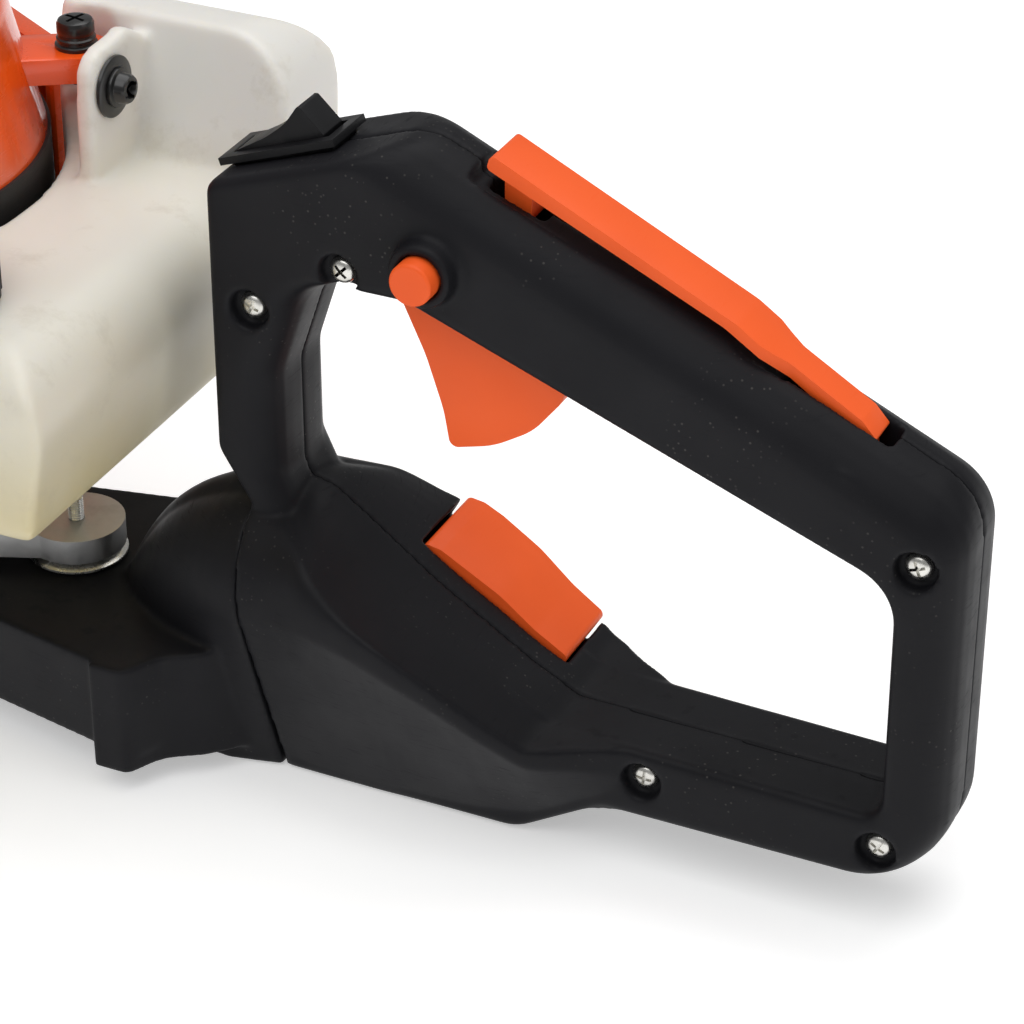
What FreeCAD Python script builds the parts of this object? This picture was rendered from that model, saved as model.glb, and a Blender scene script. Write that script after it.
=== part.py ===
"""Petrol hedge trimmer with a swivelling rear handle, built as separate sub-parts.

Millimetres. +Z is up, the blades point along -X and the rear handle along +X.
The origin is under the crankshaft, on the flat underside of the gearcase cover.
"""
import FreeCAD
import Part
import math
import os

V = FreeCAD.Vector
X_AXIS = V(1, 0, 0)
Y_AXIS = V(0, 1, 0)
Z_AXIS = V(0, 0, 1)

# Rear handle: its own drawing datum, measured from the crank axis and the ground
HANDLE_X = 244.0
HANDLE_Z = 96.5
GRIP_HALF = 19.4        # half the handle's thickness
WALL = 3.0              # moulded wall
SCREW_HEAD_R = 4.0
SCREW_POCKET_R = 6.0
SCREW_POCKET = 5.0      # how deep the screw heads sit

# Swivel between bracket and handle, in the handle's datum
SWIVEL = V(-72.0, 0, -50.0)
SWIVEL_TILT = 5.44      # degrees the swivel axis rises towards the rear
SWIVEL_GAP = 0.8
HUB_R = 15.0
HUB_BORE_R = 11.0
HUB_FLANGE_R = 20.0

# Rear bracket
PLATE_TOP = 43.5
PLATE_BOTTOM = 13.0
PLATE_FRONT = 66.0
PLATE_SHOULDER = 142.0
PLATE_FRONT_HALF = 36.0
PLATE_REAR_HALF = 51.5
BRACKET_WALL = 3.5

# Rear rubber-mounted arm
MOUNT_X = 95.0
MOUNT_Y = 2.5
DISC_R = 15.0
ARM_HALF = 11.7        # half width of the arm that ends in the disc
ARM_FOOT = (38.0, -20.2)
DISC_BOTTOM = 47.5
DISC_TOP = 55.5
STUD_R = 2.4

# Gearcase
CASE_BOTTOM = 6.0
CASE_TOP = 46.0
CASE_REAR = 54.0
CASE_FRONT = -138.0
BELL_TOP = 72.0
BELL_R = 46.0
BELL_BORE_R = 42.0
BUFFER_Y = 22.0
BUFFER_Z = 27.0

# Gears
MODULE = 1.25
PINION_TEETH = 13
GEAR_TEETH = 47
GEAR_X = -MODULE * (PINION_TEETH + GEAR_TEETH) / 2.0

# Blades
PITCH = 30.0
TEETH = 20
FIRST_TOOTH = -172.0
BLADE_T = 2.4
LOWER_Z = 10.0
UPPER_Z = 12.5
BAR_Z = 15.0
BAR_T = 4.0
STROKE = 7.5
BOLT_XS = [-187.0 - 120.0 * i for i in range(5)]
TIP_HOLE_X = -768.0
TIP_HOLE_R = 3.5

# Engine
CRANK_Z = 97.0
CRANK_R = 6.0
FAN_R = 82.0
RIM_Z = 166.5
DOME_R = 80.0
DOME_TOP = 214.0
PULLEY_ROPE_R = 24.0
GRIP_X = -24.0
GRIP_Z = 188.0

# Fuel tank
TANK_REAR_TOP = 147.0
TANK_REAR_BOTTOM = 137.0
TANK_BOTTOM = 100.0
TANK_TOP = 160.0
TANK_HIGH = 200.0
TANK_NEAR = -88.0
TANK_FAR = 90.0
TANK_WALL = 2.2
LUG = V(97.0, 35.6, 186.7)
CAP_X = 92.0
CAP_Y = -60.0

# Front handle
LOOP_X = -128.0
LOOP_Z = 58.0
LOOP_TOP = 222.0
LOOP_HALF = 122.0
LOOP_R = 11.0
LOOP_BEND = 38.0
CLAMP_Y = 32.5


def box(x0, x1, y0, y1, z0, z1):
    return Part.makeBox(x1 - x0, y1 - y0, z1 - z0, V(x0, y0, z0))


def rod(r, base, axis, length):
    return Part.makeCylinder(r, length, base, axis)


def ring(r_out, r_in, base, axis, length):
    return rod(r_out, base, axis, length).cut(rod(r_in, base, axis, length))


def outward(step):
    """Unit vector along a step, or the zero vector for a sharp corner."""
    return step.normalize() if step.Length > 1e-9 else V(0, 0, 0)


def rounded_wire(corners, to3d):
    """Closed wire through corners (u, v, radius), each corner rounded by its radius."""
    count = len(corners)
    starts = []
    ends = []
    mids = []
    for i in range(count):
        u, v, r = corners[i]
        here = V(u, v, 0)
        before = V(*corners[i - 1][:2], 0) - here
        after = V(*corners[(i + 1) % count][:2], 0) - here
        before.normalize()
        after.normalize()
        half = before.getAngle(after) / 2.0
        reach = r / math.tan(half)
        centre = here + (before + after).normalize() * (r / math.sin(half))
        starts.append(here + before * reach)
        ends.append(here + after * reach)
        mids.append(centre + outward(here - centre) * r)
    edges = []
    for i in range(count):
        if corners[i][2] > 0:
            arc = Part.Arc(to3d(starts[i]), to3d(mids[i]), to3d(ends[i]))
            edges.append(arc.toShape())
        nxt = (i + 1) % count
        if (starts[nxt] - ends[i]).Length > 1e-6:
            edges.append(Part.makeLine(to3d(ends[i]), to3d(starts[nxt])))
    return Part.Wire(Part.__sortEdges__(edges))


def side_prism(corners, y0, y1):
    """Outline drawn in X and Z, extruded from y0 to y1."""
    wire = rounded_wire(corners, lambda p: V(p.x, y0, p.y))
    return Part.Face(wire).extrude(V(0, y1 - y0, 0))


def plan_prism(corners, z0, z1):
    """Outline drawn in X and Y, extruded from z0 to z1."""
    wire = rounded_wire(corners, lambda p: V(p.x, p.y, z0))
    return Part.Face(wire).extrude(V(0, 0, z1 - z0))


def front_prism(corners, x0, x1):
    """Outline drawn in Y and Z, extruded from x0 to x1."""
    wire = rounded_wire(corners, lambda p: V(x0, p.x, p.y))
    return Part.Face(wire).extrude(V(x1 - x0, 0, 0))


def fuse(shapes):
    out = shapes[0]
    for shape in shapes[1:]:
        out = out.fuse(shape)
    return out.removeSplitter()


def swept(points, r):
    """Round tube along a path of points; each inner point carries its bend radius."""
    edges = []
    last = points[0][0]
    for i in range(1, len(points) - 1):
        here, bend = points[i]
        before = (points[i - 1][0] - here).normalize()
        after = (points[i + 1][0] - here).normalize()
        half = before.getAngle(after) / 2.0
        reach = bend / math.tan(half)
        centre = here + (before + after).normalize() * (bend / math.sin(half))
        mid = centre + (here - centre).normalize() * bend
        edges.append(Part.makeLine(last, here + before * reach))
        edges.append(Part.Arc(here + before * reach, mid, here + after * reach).toShape())
        last = here + after * reach
    edges.append(Part.makeLine(last, points[-1][0]))
    path = Part.Wire(edges)
    start = points[0][0]
    heading = (points[1][0] - start).normalize()
    circle = Part.Wire(Part.makeCircle(r, start, heading))
    return path.makePipeShell([circle], True, False)


def at_handle(shape):
    shape.translate(V(HANDLE_X, 0, HANDLE_Z))
    return shape


def swivel_frame(shape):
    """Move a shape drawn on +X about the origin onto the swivel axis."""
    shape.rotate(V(0, 0, 0), Y_AXIS, -SWIVEL_TILT)
    shape.translate(SWIVEL)
    return shape


def save(node, shape):
    shape.exportStep("parts/" + node + ".step")


# ---------------------------------------------------------------- rear handle

# outline corners: x, z, corner radius, edge rounding of the side that starts there
GRIP_OUTLINE = [
    (-85.5, 94.8, 5, 3), (-23.5, 116.0, 18, 17), (139.4, 40.8, 20, 12), (139.4, -80.8, 25, 4),
    (36.0, -80.8, 12, 3), (10.0, -96.4, 16, 3), (-66.0, -96.4, 1, 3), (-75.5, -6.2, 2, 3),
    (-85.5, 10.0, 7, 3),
]
GRIP_OPENING = [
    (-55.0, 70.5, 19, 3), (-24.0, 70.5, 16, 3), (120.8, 15.5, 16, 3), (121.1, -59.0, 6, 3),
    (22.0, -56.5, 10, 3), (-60.0, -12.0, 12, 8), (-66.4, 2.0, 10, 11), (-66.4, 36.0, 16, 11),
]
# distances from the middle plane at which the rounded outline is drawn
GRIP_LEVELS = [2.4, 6.8, 10.9, 14.4, 16.4, 17.6, 18.5, 19.1, GRIP_HALF]
# body sections: x, ridge height, half width of the top, height there, widest half width,
# height of the widest place, bottom, bottom half width
BULB = [
    (-90.0, -1.0, 9.0, -5.0, 33.5, -36.0, -96.4, 18.2), (-66.0, -3.0, 15.0, -7.5, 34.6, -35.5, -96.4, 18.2),
    (-58.0, -4.5, 22.0, -10.5, 36.0, -34.5, -96.4, 18.4), (-52.0, -8.2, 28.5, -13.8, 37.6, -33.5, -96.4, 18.5),
    (-46.0, -12.4, 33.2, -18.3, 38.8, -33.5, -96.4, 18.5), (-40.0, -16.9, 36.6, -22.5, 39.8, -34.0, -96.4, 18.5),
    (-34.0, -21.6, 39.0, -25.6, 40.6, -35.0, -96.4, 18.5), (-22.0, -30.2, 40.4, -31.2, 41.2, -39.0, -96.2, 18.0),
    (-10.0, -37.7, 38.8, -38.4, 39.6, -45.0, -95.8, 18.0), (14.0, -52.8, 34.6, -53.4, 35.3, -59.0, -92.0, 17.5),
    (20.0, -56.0, 33.0, -56.5, 33.6, -62.0, -89.0, 17.5), (31.0, -56.8, 26.0, -57.3, 26.7, -64.0, -83.5, 17.3),
    (42.0, -57.4, 20.0, -57.9, 20.6, -66.0, -80.8, 17.0), (48.0, -58.0, 16.0, -58.5, 17.5, -68.0, -79.8, 16.0),
]
DRUM = [
    (-129.0, -51.0, 1.0, -51.5, 4.0, -56.0, -80.0, 8.0), (-121.0, -36.0, 3.0, -39.0, 13.0, -56.0, -83.0, 16.0),
    (-110.0, -22.0, 5.0, -25.0, 20.0, -50.0, -83.5, 22.0), (-98.0, -13.0, 6.0, -16.0, 26.0, -44.0, -90.0, 25.0),
    (-84.0, -7.0, 8.0, -10.0, 31.0, -39.0, -96.4, 22.5), (-60.0, -3.0, 10.0, -6.0, 34.5, -35.0, -96.4, 17.0),
]
HANDLE_SCREWS = [(-73.0, 57.8), (-44.3, 75.0), (126.5, 23.5), (49.5, -67.4), (120.6, -69.9)]
TRIGGER_PIVOT = (-22.0, 76.0)
LEVER_PIVOT = (104.0, 44.0)
BUTTON = (-16.4, 83.0)
BUTTON_R = 6.3
COLLAR_R = 9.3
COLLAR_FACE = -25.5
BUTTON_FACE = -30.5
RELEASE_TILT = 30.7
RELEASE_SEAT = V(-9.5, 0, -38.2)
RELEASE_PIVOT = (9.58, -54.95)


def boat_section(station, inset):
    """Section across X: crowned top, rounded shoulders, sides tapering to a flat bottom."""
    x, ridge, flat, edge, half, mid, bottom, low_half = station
    flat = max(flat - inset, 0.5)
    half = half - inset
    edge = edge - inset
    ridge = ridge - inset
    low_half = low_half - inset
    bottom = bottom + inset
    halves = []
    for side in (-1, 1):
        poles = [V(x, side * flat, edge), V(x, side * (flat + 0.55 * (half - flat)), edge),
                 V(x, side * half, mid + 0.55 * (edge - mid)), V(x, side * half, mid)]
        shoulder = Part.BezierCurve()
        shoulder.setPoles(poles)
        halves.append((poles, shoulder.toShape()))
    (left, left_shoulder), (right, right_shoulder) = halves
    top = Part.Arc(left[0], V(x, 0, ridge), right[0]).toShape()
    low_left = V(x, -low_half, bottom)
    low_right = V(x, low_half, bottom)
    edges = [Part.makeLine(low_left, low_right), Part.makeLine(low_right, right[3]), right_shoulder,
             top, left_shoulder, Part.makeLine(left[3], low_left)]
    return Part.Wire(Part.__sortEdges__(edges))


def slopes(table, column):
    """Slope at each station, kept level where the values turn, so nothing overshoots."""
    steps = [(b[column] - a[column]) / (b[0] - a[0]) for a, b in zip(table, table[1:])]
    inner = [0.0 if a * b <= 0 else 2 * a * b / (a + b) for a, b in zip(steps, steps[1:])]
    return [steps[0]] + inner + [steps[-1]]


def smooth_stations(table, per_span):
    """More stations between the listed ones, on smooth curves through them."""
    tangents = [None] + [slopes(table, c) for c in range(1, len(table[0]))]
    out = [table[0]]
    for i in range(len(table) - 1):
        a, b = table[i], table[i + 1]
        width = b[0] - a[0]
        for k in range(1, per_span + 1):
            t = k / per_span
            row = [a[0] + t * width]
            for c in range(1, len(a)):
                h = t * t * (3 - 2 * t)
                bend = t * (1 - t) * width
                value = a[c] + (b[c] - a[c]) * h
                value += bend * ((1 - t) * tangents[c][i] - t * tangents[c][i + 1])
                row.append(value)
            out.append(tuple(row))
    return out


def boat_loft(table, inset):
    wires = [boat_section(station, inset) for station in smooth_stations(table, 3)]
    return Part.makeLoft(wires, True, True)


def bulb(inset):
    return boat_loft(BULB, inset)


def behind_swivel(offset):
    return swivel_frame(box(offset, 400, -200, 200, -200, 200))


def edge_inset(rounding, y):
    """How far a side with rounded edges stands in at a distance y from the middle plane."""
    past = abs(y) - (GRIP_HALF - rounding)
    if past <= 0:
        return 0.0
    return rounding - math.sqrt(max(rounding ** 2 - past ** 2, 0.0))


def shifted(corners, distances):
    """Outline after each side moves square to itself, to the right of its run when positive."""
    sides = []
    for i, corner in enumerate(corners):
        after = corners[(i + 1) % len(corners)]
        run = math.hypot(after[0] - corner[0], after[1] - corner[1])
        nx, nz = (after[1] - corner[1]) / run, (corner[0] - after[0]) / run
        sides.append((nx, nz, nx * corner[0] + nz * corner[1] + distances[i]))
    out = []
    for i, corner in enumerate(corners):
        a, b = sides[i - 1], sides[i]
        det = a[0] * b[1] - a[1] * b[0]
        x = (a[2] * b[1] - a[1] * b[2]) / det
        z = (a[0] * b[2] - a[2] * b[0]) / det
        radius = corner[2] - (distances[i - 1] + distances[i]) / 2.0
        out.append((x, z, max(radius, 0.8)))
    return out


def rounded_body(corners, sign, reach):
    """Solid of an outline whose long edges are rounded; sign is -1 for an opening's cutter."""
    levels = [(y, y) for y in GRIP_LEVELS] + [(GRIP_HALF + reach, GRIP_HALF)] * (reach > 0)
    wires = []
    for place, y in [(-a, b) for a, b in reversed(levels)] + levels:
        outline = shifted(corners, [sign * edge_inset(c[3], y) for c in corners])
        wires.append(rounded_wire(outline, lambda p, place=place: V(p.x, place, p.y)))
    return Part.makeLoft(wires, True, True)


def grip_solid():
    return rounded_body(GRIP_OUTLINE, 1, 0).cut(rounded_body(GRIP_OPENING, -1, 6.0))


def grip_cavity():
    half = GRIP_HALF - WALL
    outer = shifted(GRIP_OUTLINE, [WALL + edge_inset(c[3], half) for c in GRIP_OUTLINE])
    hole = shifted(GRIP_OPENING, [-WALL - edge_inset(c[3], half) for c in GRIP_OPENING])
    return side_prism(outer, -half, half).cut(side_prism(hole, -GRIP_HALF, GRIP_HALF))


def handle_shell():
    grip = grip_solid()
    lower = bulb(0).common(behind_swivel(SWIVEL_GAP))
    skin = grip.fuse(lower)
    collar = Part.makeCone(COLLAR_R + 0.8, COLLAR_R, -COLLAR_FACE - 17.0, V(BUTTON[0], -17.0, BUTTON[1]),
                           V(0, -1, 0))
    low_core = bulb(WALL).common(behind_swivel(4.7)).cut(box(-60, 22, -60, 60, -16, 80))
    hollow = grip_cavity().common(behind_swivel(4.7).fuse(box(-90, -60, -30, 30, -3, 120)))
    shell = skin.cut(hollow).cut(low_core).fuse(collar)
    bosses = [rod(4.6, V(x, -GRIP_HALF + 1, z), Y_AXIS, 2 * GRIP_HALF - 2) for x, z in HANDLE_SCREWS]
    bosses += [rod(8.0, V(x, -GRIP_HALF + 1, z), Y_AXIS, SCREW_POCKET + 1.5) for x, z in HANDLE_SCREWS]
    return shell.fuse(fuse(bosses).common(grip))


def lever_seat():
    """Shallow seat in the top of the grip that lets the lever down, and its pivot's slot."""
    front = side_prism([(-8.5, 120, 0), (-8.5, 105.6, 0), (52, 81.0, 0), (52, 100, 0)], -9, 9)
    rear = side_prism([(68, 90, 0), (68, 72.8, 0), (88, 60.2, 0), (88, 80, 0)], -9, 9)
    plan = plan_prism([(60, -8.9, 0), (70, -8.9, 0), (86, -5.7, 0), (120, -5.7, 0),
                       (120, 5.7, 0), (86, 5.7, 0), (70, 8.9, 0), (60, 8.9, 0)], 40, 120)
    slot = side_prism([(82, 40, 0), (113.5, 40, 0), (113.5, 70, 0), (82, 75, 0)], -5.6, 5.6)
    return fuse([front, rear.common(plan), slot])


def handle_cuts():
    cuts = []
    for x, z in HANDLE_SCREWS:
        cuts.append(rod(SCREW_POCKET_R, V(x, -60, z), Y_AXIS, 60 - GRIP_HALF + SCREW_POCKET))
        cuts.append(rod(1.6, V(x, -GRIP_HALF, z), Y_AXIS, 30))
    cuts.append(box(-34, 28.5, -6.5, 6.5, 40, 80))
    cuts.append(box(-34, 0, -6.5, 6.5, 78, 92))
    cuts.append(box(-5, 12, -5.1, 5.1, 86, 112))
    cuts.append(lever_seat())
    cuts.append(rod(BUTTON_R + 0.4, V(BUTTON[0], -40, BUTTON[1]), Y_AXIS, 30))
    cuts.append(rocker_frame(box(-16.9, 16.9, -7.0, 7.0, -12, 12)))
    cuts.append(rod(2.05, V(TRIGGER_PIVOT[0], -14, TRIGGER_PIVOT[1]), Y_AXIS, 28))
    cuts.append(rod(2.05, V(LEVER_PIVOT[0], -14, LEVER_PIVOT[1]), Y_AXIS, 28))
    cuts.append(rod(2.3, V(RELEASE_PIVOT[0], 3.0, RELEASE_PIVOT[1]), Y_AXIS, 8))
    cuts.append(swivel_frame(rod(HUB_R + 0.3, V(-5, 0, 0), X_AXIS, 12)))
    cuts.append(release_pocket())
    return fuse(cuts)


def pivot_bosses():
    """Posts on both side walls that carry the trigger pin and the lever pin."""
    posts = []
    for x, z in (TRIGGER_PIVOT, LEVER_PIVOT):
        for side in (-1, 1):
            posts.append(rod(4.2, V(x, side * 7.4, z), V(0, side, 0), GRIP_HALF - 9))
    return fuse(posts)


def release_pocket():
    return release_frame(box(-28.2, 27.8, 8.2, 60, -9.5, 20))


def handle_halves():
    shell = handle_shell().fuse(pivot_bosses()).cut(handle_cuts())
    shell = shell.cut(rod(2.05, V(TRIGGER_PIVOT[0], -14, TRIGGER_PIVOT[1]), Y_AXIS, 28))
    left = shell.common(box(-100, 160, -60, 0, -100, 130))
    right = shell.common(box(-100, 160, 0, 60, -100, 130))
    return at_handle(left), at_handle(right)


def handle_screws():
    out = []
    for x, z in HANDLE_SCREWS:
        seat = SCREW_POCKET - GRIP_HALF
        head = rod(SCREW_HEAD_R, V(x, seat - 2.6, z), Y_AXIS, 2.6)
        cross = box(x - 2.2, x + 2.2, seat - 2.7, seat - 1.2, z - 0.5, z + 0.5)
        cross = cross.fuse(box(x - 0.5, x + 0.5, seat - 2.7, seat - 1.2, z - 2.2, z + 2.2))
        out.append(head.cut(cross).fuse(rod(1.55, V(x, seat, z), Y_AXIS, 22)))
    return at_handle(Part.makeCompound(out))


def rocker_frame(shape):
    """Seat a shape on the sloping front top, where the stop switch is fitted."""
    shape.rotate(V(0, 0, 0), Y_AXIS, -19.6)
    shape.translate(V(-67.0, 0, 102.4))
    return shape


def switch_bezel():
    flange = box(-19.2, 19.2, -9.5, 9.5, 0.0, 2.2)
    skirt = box(-16.6, 16.6, -6.7, 6.7, -10.6, 2.2)
    inner = box(-16.0, 16.0, -5.9, 5.9, -9.2, 3)
    shape = flange.fuse(skirt).cut(inner)
    holes = rod(1.05, V(0, -7, 0.9), Y_AXIS, 14)
    return at_handle(rocker_frame(shape.cut(holes)))


def switch_rocker():
    corners = [(-15.5, 2.4, 0.6), (-5.0, 4.5, 30), (3.0, 7.4, 20), (8.6, 11.6, 0.8),
               (9.8, 11.4, 0.8), (14.3, 2.6, 0.8), (12.0, -4.5, 1), (-12.0, -4.5, 1)]
    body = side_prism(corners, -5.5, 5.5)
    trunnion = rod(1.0, V(0, -6.6, 0.9), Y_AXIS, 13.2)
    return at_handle(rocker_frame(body.fuse(trunnion)))


def throttle_trigger():
    corners = [(-33.0, 68.0, 2), (-24.0, 48.5, 60), (-18.6, 32.0, 40), (-16.6, 20.2, 2.5),
               (-3.0, 24.0, 30), (9.0, 31.5, 25), (18.5, 43.5, 8), (19.0, 66.0, 3),
               (-12.0, 82.0, 3), (-28.0, 82.0, 5)]
    blade = side_prism(corners, -5.9, 5.9)
    pivot = rod(2.06, V(TRIGGER_PIVOT[0], -10, TRIGGER_PIVOT[1]), Y_AXIS, 20)
    hollow = box(-10, 40, -3.6, 3.6, 62, 90)
    return at_handle(blade.cut(pivot).cut(hollow))


def trigger_pin():
    return at_handle(rod(2.0, V(TRIGGER_PIVOT[0], -13.5, TRIGGER_PIVOT[1]), Y_AXIS, 27))


def lever_pin():
    return at_handle(rod(2.0, V(LEVER_PIVOT[0], -13.5, LEVER_PIVOT[1]), Y_AXIS, 27))


def lockout_lever():
    top = [(-2.6, 115.2, 1.5), (69.5, 79.9, 12), (80.0, 72.6, 25), (105.0, 57.6, 2), (109.5, 52.5, 0.8),
           (106.5, 50.5, 0.8), (79.0, 69.5, 12), (66.0, 78.2, 20), (-3.8, 110.8, 1.5)]
    plate = side_prism(top, -8.2, 8.2)
    waist = plan_prism([(84, 5.3, 4), (130, 5.3, 0), (130, 12, 0), (66, 12, 0)], 30, 130)
    plate = plate.cut(waist).cut(waist.mirror(V(0, 0, 0), Y_AXIS))
    hub = side_prism([(90, 62, 1), (105, 54.0, 1), (108.5, 39.5, 4), (99, 39.5, 4)], -4.9, 4.9)
    leg = side_prism([(0, 112.0, 0), (8, 108.4, 0), (8, 95, 2), (0, 95, 2)], -4.5, 4.5)
    bore = rod(2.06, V(LEVER_PIVOT[0], -10, LEVER_PIVOT[1]), Y_AXIS, 20)
    return at_handle(fuse([plate, hub, leg]).cut(bore))


def throttle_hold_button():
    base = V(BUTTON[0], BUTTON_FACE, BUTTON[1])
    cap = rod(BUTTON_R, base, Y_AXIS, -BUTTON_FACE - 14.0)
    edge = [e for e in cap.Edges if abs(e.BoundBox.YMax - BUTTON_FACE) < 1e-6]
    cap = cap.makeFillet(1.0, edge)
    stem = rod(3.0, V(BUTTON[0], -14.0, BUTTON[1]), Y_AXIS, 3.0)
    return at_handle(cap.fuse(stem))


def release_frame(shape):
    """Lay a shape drawn along X onto the sloping top of the handle's lower body."""
    shape.rotate(V(0, 0, 0), Y_AXIS, RELEASE_TILT)
    shape.translate(RELEASE_SEAT)
    return shape


def rotation_release_lever():
    corners = [(-27.0, -4.2, 1), (-27.0, 0.6, 2), (-22.0, 2.4, 3), (0.0, 2.9, 30),
               (14.0, 1.0, 20), (27.0, 0.8, 2), (27.0, -7.5, 1), (14.0, -7.5, 5)]
    shape = side_prism(corners, 9.0, 42.0)
    plan = plan_prism([(-30, 0, 0), (30, 0, 0), (30, 35.5, 0), (6, 37.6, 0), (-15, 39.6, 0),
                       (-30, 38.8, 0)], -20, 20)
    pivot = rod(2.0, V(RELEASE_PIVOT[0], 3.5, RELEASE_PIVOT[1]), Y_AXIS, 12)
    return at_handle(release_frame(shape.common(plan)).fuse(pivot))


# ---------------------------------------------------------------- rear bracket

def drum():
    """Domed end of the bracket, cut square to the swivel axis."""
    return boat_loft(DRUM, 0).cut(behind_swivel(0))


def rear_bracket():
    domed = at_handle(drum())
    plan = [(PLATE_FRONT, -PLATE_FRONT_HALF, 6), (PLATE_SHOULDER, -PLATE_REAR_HALF, 5),
            (150, -36, 8), (150, 36, 8), (PLATE_SHOULDER, PLATE_REAR_HALF, 5),
            (PLATE_FRONT, PLATE_FRONT_HALF, 6)]
    plate = plan_prism(plan, PLATE_BOTTOM, PLATE_TOP)
    inner = [(PLATE_FRONT + BRACKET_WALL, -PLATE_FRONT_HALF + 4.3, 4),
             (PLATE_SHOULDER - 3, -PLATE_REAR_HALF + 4.8, 4), (PLATE_SHOULDER - 3, PLATE_REAR_HALF - 4.8, 4),
             (PLATE_FRONT + BRACKET_WALL, PLATE_FRONT_HALF - 4.3, 4)]
    hollow = plan_prism(inner, PLATE_BOTTOM - 1, PLATE_TOP - BRACKET_WALL)
    bore = at_handle(swivel_frame(rod(HUB_R, V(-27, 0, 0), X_AXIS, 30)))
    cheeks = [plan_prism([(PLATE_SHOULDER - 12, side * PLATE_REAR_HALF, 0), (PLATE_SHOULDER, side * PLATE_REAR_HALF, 4),
                          (147, side * 40, 16), (158, side * 33, 14), (168, side * 22, 0),
                          (130, side * 20, 0)][::side], 7.0, PLATE_TOP) for side in (-1, 1)]
    body = fuse([plate, domed] + cheeks).cut(hollow).cut(bore)
    body = body.cut(rod(STUD_R + 0.1, V(MOUNT_X, MOUNT_Y, 30), Z_AXIS, 30))
    for side in (-1, 1):
        body = body.cut(rod(2.6, V(PLATE_FRONT - 5, side * BUFFER_Y, BUFFER_Z), X_AXIS, 15))
    return body.removeSplitter()


def swivel_hub():
    tube = rod(HUB_R, V(-26, 0, 0), X_AXIS, 36)
    flange = rod(HUB_FLANGE_R, V(5, 0, 0), X_AXIS, 4)
    body = tube.fuse(flange).cut(rod(HUB_BORE_R, V(-30, 0, 0), X_AXIS, 50))
    return at_handle(swivel_frame(body))


def mount_washer():
    lower = rod(15.5, V(MOUNT_X, MOUNT_Y, PLATE_TOP), Z_AXIS, 1.4)
    dome = Part.makeCone(15.5, 11.0, 2.6, V(MOUNT_X, MOUNT_Y, PLATE_TOP + 1.4), Z_AXIS)
    return lower.fuse(dome).cut(rod(STUD_R + 0.1, V(MOUNT_X, MOUNT_Y, 40), Z_AXIS, 10))


def hex_prism(across, base, axis_length):
    pts = [base + V(across / math.sqrt(3) * math.cos(math.radians(60 * i)),
                    across / math.sqrt(3) * math.sin(math.radians(60 * i)), 0)
           for i in range(7)]
    return Part.Face(Part.makePolygon(pts)).extrude(V(0, 0, axis_length))


def mount_stud():
    under = PLATE_TOP - BRACKET_WALL
    stud = rod(STUD_R, V(MOUNT_X, MOUNT_Y, under - 4), Z_AXIS, 63.5 - under + 4)
    return stud.fuse(hex_prism(8.0, V(MOUNT_X, MOUNT_Y, under - 4), 4))


def buffers():
    return Part.makeCompound([
        ring(9.0, 2.6, V(CASE_REAR, side * BUFFER_Y, BUFFER_Z), X_AXIS, PLATE_FRONT - CASE_REAR)
        for side in (-1, 1)])


def buffer_studs():
    out = []
    for side in (-1, 1):
        stud = rod(2.4, V(CASE_REAR - 4.9, side * BUFFER_Y, BUFFER_Z), X_AXIS, 26)
        nut = rod(4.4, V(PLATE_FRONT + BRACKET_WALL, side * BUFFER_Y, BUFFER_Z), X_AXIS, 4)
        out.append(stud.fuse(nut))
    return Part.makeCompound(out)


# ---------------------------------------------------------------- gearcase and blades

CASE_PLAN = [
    (CASE_REAR, -36, 10), (10, -50, 20), (-78, -50, 16), (-104, -46, 8), (CASE_FRONT, -46, 6),
    (CASE_FRONT, 46, 6), (-104, 46, 8), (-78, 50, 16), (10, 50, 20), (CASE_REAR, 36, 10),
]
CASE_INSIDE = [
    (CASE_REAR - 5, -31, 6), (10, -44, 16), (-74, -44, 12), (-98, -24, 8),
    (-98, 24, 8), (-74, 44, 12), (10, 44, 16), (CASE_REAR - 5, 31, 6),
]
COVER_SCREWS = [(42, 0), (0, -44.5), (0, 44.5), (-68, -44.5), (-68, 44.5), (-128, -34), (-128, 34)]


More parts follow.
